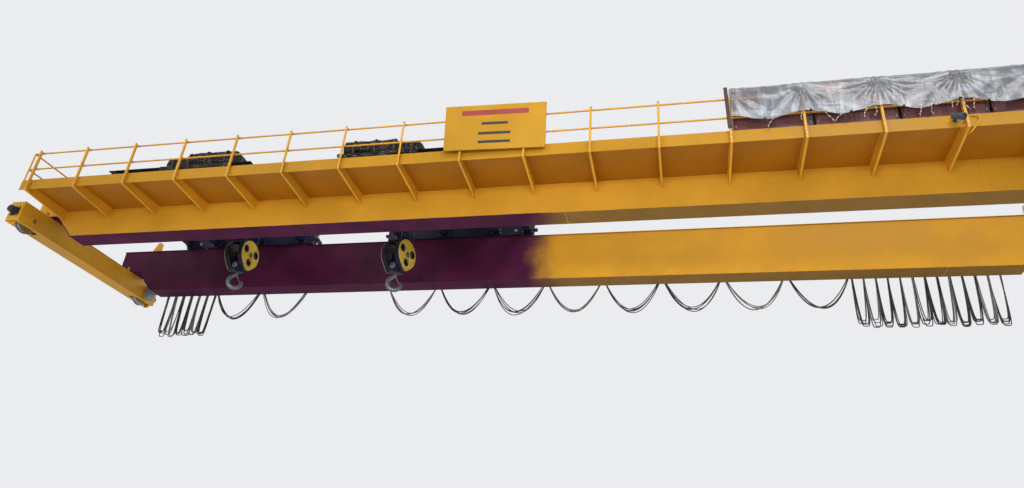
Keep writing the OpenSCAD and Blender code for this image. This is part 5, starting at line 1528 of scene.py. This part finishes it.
class CRANE_OT_block_fittings(CraneStep, bpy.types.Operator):
    """Adds rim bolts, rolled collars, axle ends, keeper plates and trunnion caps to each block"""

    bl_idname = "crane.block_fittings"
    bl_label = "Hook block fittings"

    def execute(self, context):
        face, bearer = 0.2855, -0.38
        for side in SIDES:
            bolts, plates, collars = Mould(), Mould(), Mould()
            for way in (-1, 1):
                out = way * ALONG
                # Bolts along the guard's rim: on the big circle above, the small one below
                rim = ring((way * face, 0, 0), 0.375, np.radians(np.arange(-12, 193, 24)))
                foot = ring((way * face, 0, -0.3), 0.158, np.radians(np.linspace(205, 335, 5)))
                bolts.bolts(np.concatenate([rim, foot]), out, 0.019)
                # Rolled collars round the three holes of the guard
                holes = ring((way * face, 0, 0), 0.248, np.radians([20.0, 160.0, 270.0]))
                collars.turned([(0.0735, -0.010), (0.0735, 0.004), (0.080, 0.008), (0.106, 0.007),
                                (0.114, 0.0), (0.0735, -0.010)], holes, out, 40)
                # Axle end with a keeper plate in its slot
                plates.turned([(0, -0.006), (0.062, -0.006), (0.066, 0.0), (0.066, 0.010),
                               (0.058, 0.016), (0, 0.016)], [way * face, 0, 0], out, 28)
                plates.blocks([way * (face + 0.010), -0.075, -0.086],
                              [way * (face + 0.020), 0.075, -0.050], 0.003, 0)
                bolts.bolts(corners((way * (face + 0.020), 0, -0.068), 0, 0.055, 0), out, 0.016)
                # Crosshead trunnion caps
                out = way * ACROSS
                plates.turned([(0, 0), (0.085, 0), (0.090, 0.006), (0.090, 0.014), (0.07, 0.022),
                               (0, 0.022)], [0, way * 0.185, bearer], out, 28)
                bolts.bolts(ring((0, way * 0.205, bearer), 0.066, turns(6), 1), out, 0.014,
                            washer=False)
            for name, mould, finish, slot in (("block_bolts", bolts, "bolt", "sheave_iron"),
                                              ("guard_collars", collars, "block", "block_navy"),
                                              ("block_keepers", plates, "sheave", "block_navy")):
                mould.moved(upright_turn(TURNS[side]), middle(f"{side}_block_sheaves"))
                piece(f"{side}_{name}", mould, finish, f"{side}_hook_block")
        return {"FINISHED"}


class CRANE_OT_hooks(CraneStep, bpy.types.Operator):
    """Forges each hook: a section swept down the neck and round the bowl, a shank and a nut"""

    bl_idname = "crane.hooks"
    bl_label = "Hooks"

    def forging(self):
        """Rings along the centre line, which is a cubic Bezier curve c(s) down the neck for s
        from 0 to 1 and an arc of radius 0.18 from 150 to 382 degrees for s from 1 to 2. A ring is
        c + n a cos q in the plane of the hook and b sin q (1 + 0.16 cos q) across it, so that
        it is broadest on the inner side; a and b close as a half ellipse at the tip."""
        radius, start, sweep = 0.18, math.radians(150.0), math.radians(232.0)
        on_bowl = flat_points(radius, start)
        knots = np.array([[0.0, 0.297], [0.0, 0.216], on_bowl + [0.0495, 0.0857], on_bowl])
        s = np.concatenate([np.linspace(0, 1, 32)[:-1], 2 - (1 - np.linspace(0, 1, 96)) ** 1.6])
        t = np.minimum(s, 1)[:, None]
        neck = ((1 - t) ** 3 * knots[0] + 3 * (1 - t) ** 2 * t * knots[1]
                + 3 * (1 - t) * t ** 2 * knots[2] + t ** 3 * knots[3])
        ahead = ((1 - t) ** 2 * (knots[1] - knots[0]) + 2 * (1 - t) * t * (knots[2] - knots[1])
                 + t ** 2 * (knots[3] - knots[2]))
        angle = start + sweep * np.maximum(s - 1, 0)
        bowl = flat_points(radius, angle)
        line = np.where(s[:, None] < 1, neck, bowl)
        ahead = np.where(s[:, None] < 1, ahead, np.stack([-np.sin(angle), np.cos(angle)], -1))
        ahead = unit(ahead)
        inner = np.stack([-ahead[:, 1], ahead[:, 0]], -1)
        tip = np.clip((s - 1.5) / 0.5, 0, 1)
        depth = (0.045 + 0.023 * np.minimum(s / 1.5, 1) ** 1.3) * np.sqrt(1 - tip ** 2.1)
        width = (0.045 + 0.0067 * np.sin(np.minimum(s / 1.5, 1) * math.pi / 2)) * np.sqrt(
            1 - tip ** 2.4)
        broad = 0.16 * np.clip(s / 1.2, 0, 1)[:, None]
        q = turns(40)[None]
        along = line[:, None] + inner[:, None] * (depth[:, None] * np.cos(q))[..., None]
        rings = xyz(along[..., 0], width[:, None] * np.sin(q) * (1 + broad * np.cos(q)),
                    along[..., 1] - HOOK_DROP)
        return np.concatenate([np.broadcast_to(rings[:1].mean(1, keepdims=True), rings[:1].shape),
                               rings])

    def execute(self, context):
        for side in SIDES:
            mould = Mould().sheets(self.forging(), round_cols=True)
            mould.turned([(0, -0.552), (0.045, -0.552), (0.045, -0.30), (0.041, -0.29),
                          (0.041, -0.168), (0.036, -0.160), (0, -0.160)], [0, 0, 0], UP, 40)
            mould.turned([(0.0, -0.250), (0.066, -0.250), (0.075, -0.242), (0.075, -0.190),
                          (0.063, -0.180), (0.0, -0.180)], [0, 0, 0], UP, 6, math.pi / 6)
            mould.moved(upright_turn(HOOK_TURNS[side]), middle(f"{side}_block_sheaves"))
            piece(f"{side}_forged_hook", mould, "hook", f"{side}_hook",
                  (f"{side}_hook",), crease=0.7)
        return {"FINISHED"}


# Panel and main

STEPS = (CRANE_OT_stage, CRANE_OT_finishes, CRANE_OT_clear_cover, CRANE_OT_black_covers,
         CRANE_OT_ropes, CRANE_OT_festoon, CRANE_OT_girder_fittings,
         CRANE_OT_walkway_fittings, CRANE_OT_sign, CRANE_OT_carriage_fittings,
         CRANE_OT_trolley_fittings, CRANE_OT_block_fittings, CRANE_OT_hooks)


class CRANE_PT_finish(bpy.types.Panel):
    """Lists the sizes, the colours and the steps in their order."""

    bl_idname = "CRANE_PT_finish"
    bl_label = "Overhead crane"
    bl_space_type = "VIEW_3D"
    bl_region_type = "UI"
    bl_category = "Crane"

    def draw(self, context):
        layout = self.layout
        for group in (context.scene.crane_sizes, context.scene.crane_colours):
            box = layout.box()
            for name in group.__annotations__:
                box.prop(group, name)
        for step in STEPS:
            layout.operator(step.bl_idname)


CLASSES = (CraneSizes, CraneColours) + STEPS + (CRANE_PT_finish,)


def register():
    for cls in CLASSES:
        bpy.utils.register_class(cls)
    bpy.types.Scene.crane_sizes = bpy.props.PointerProperty(type=CraneSizes)
    bpy.types.Scene.crane_colours = bpy.props.PointerProperty(type=CraneColours)


def unregister():
    del bpy.types.Scene.crane_colours, bpy.types.Scene.crane_sizes
    for cls in reversed(CLASSES):
        bpy.utils.unregister_class(cls)


def main():
    register()
    for step in STEPS:
        group, name = step.bl_idname.split(".")
        getattr(getattr(bpy.ops, group), name)()


if __name__ == "__main__":
    main()
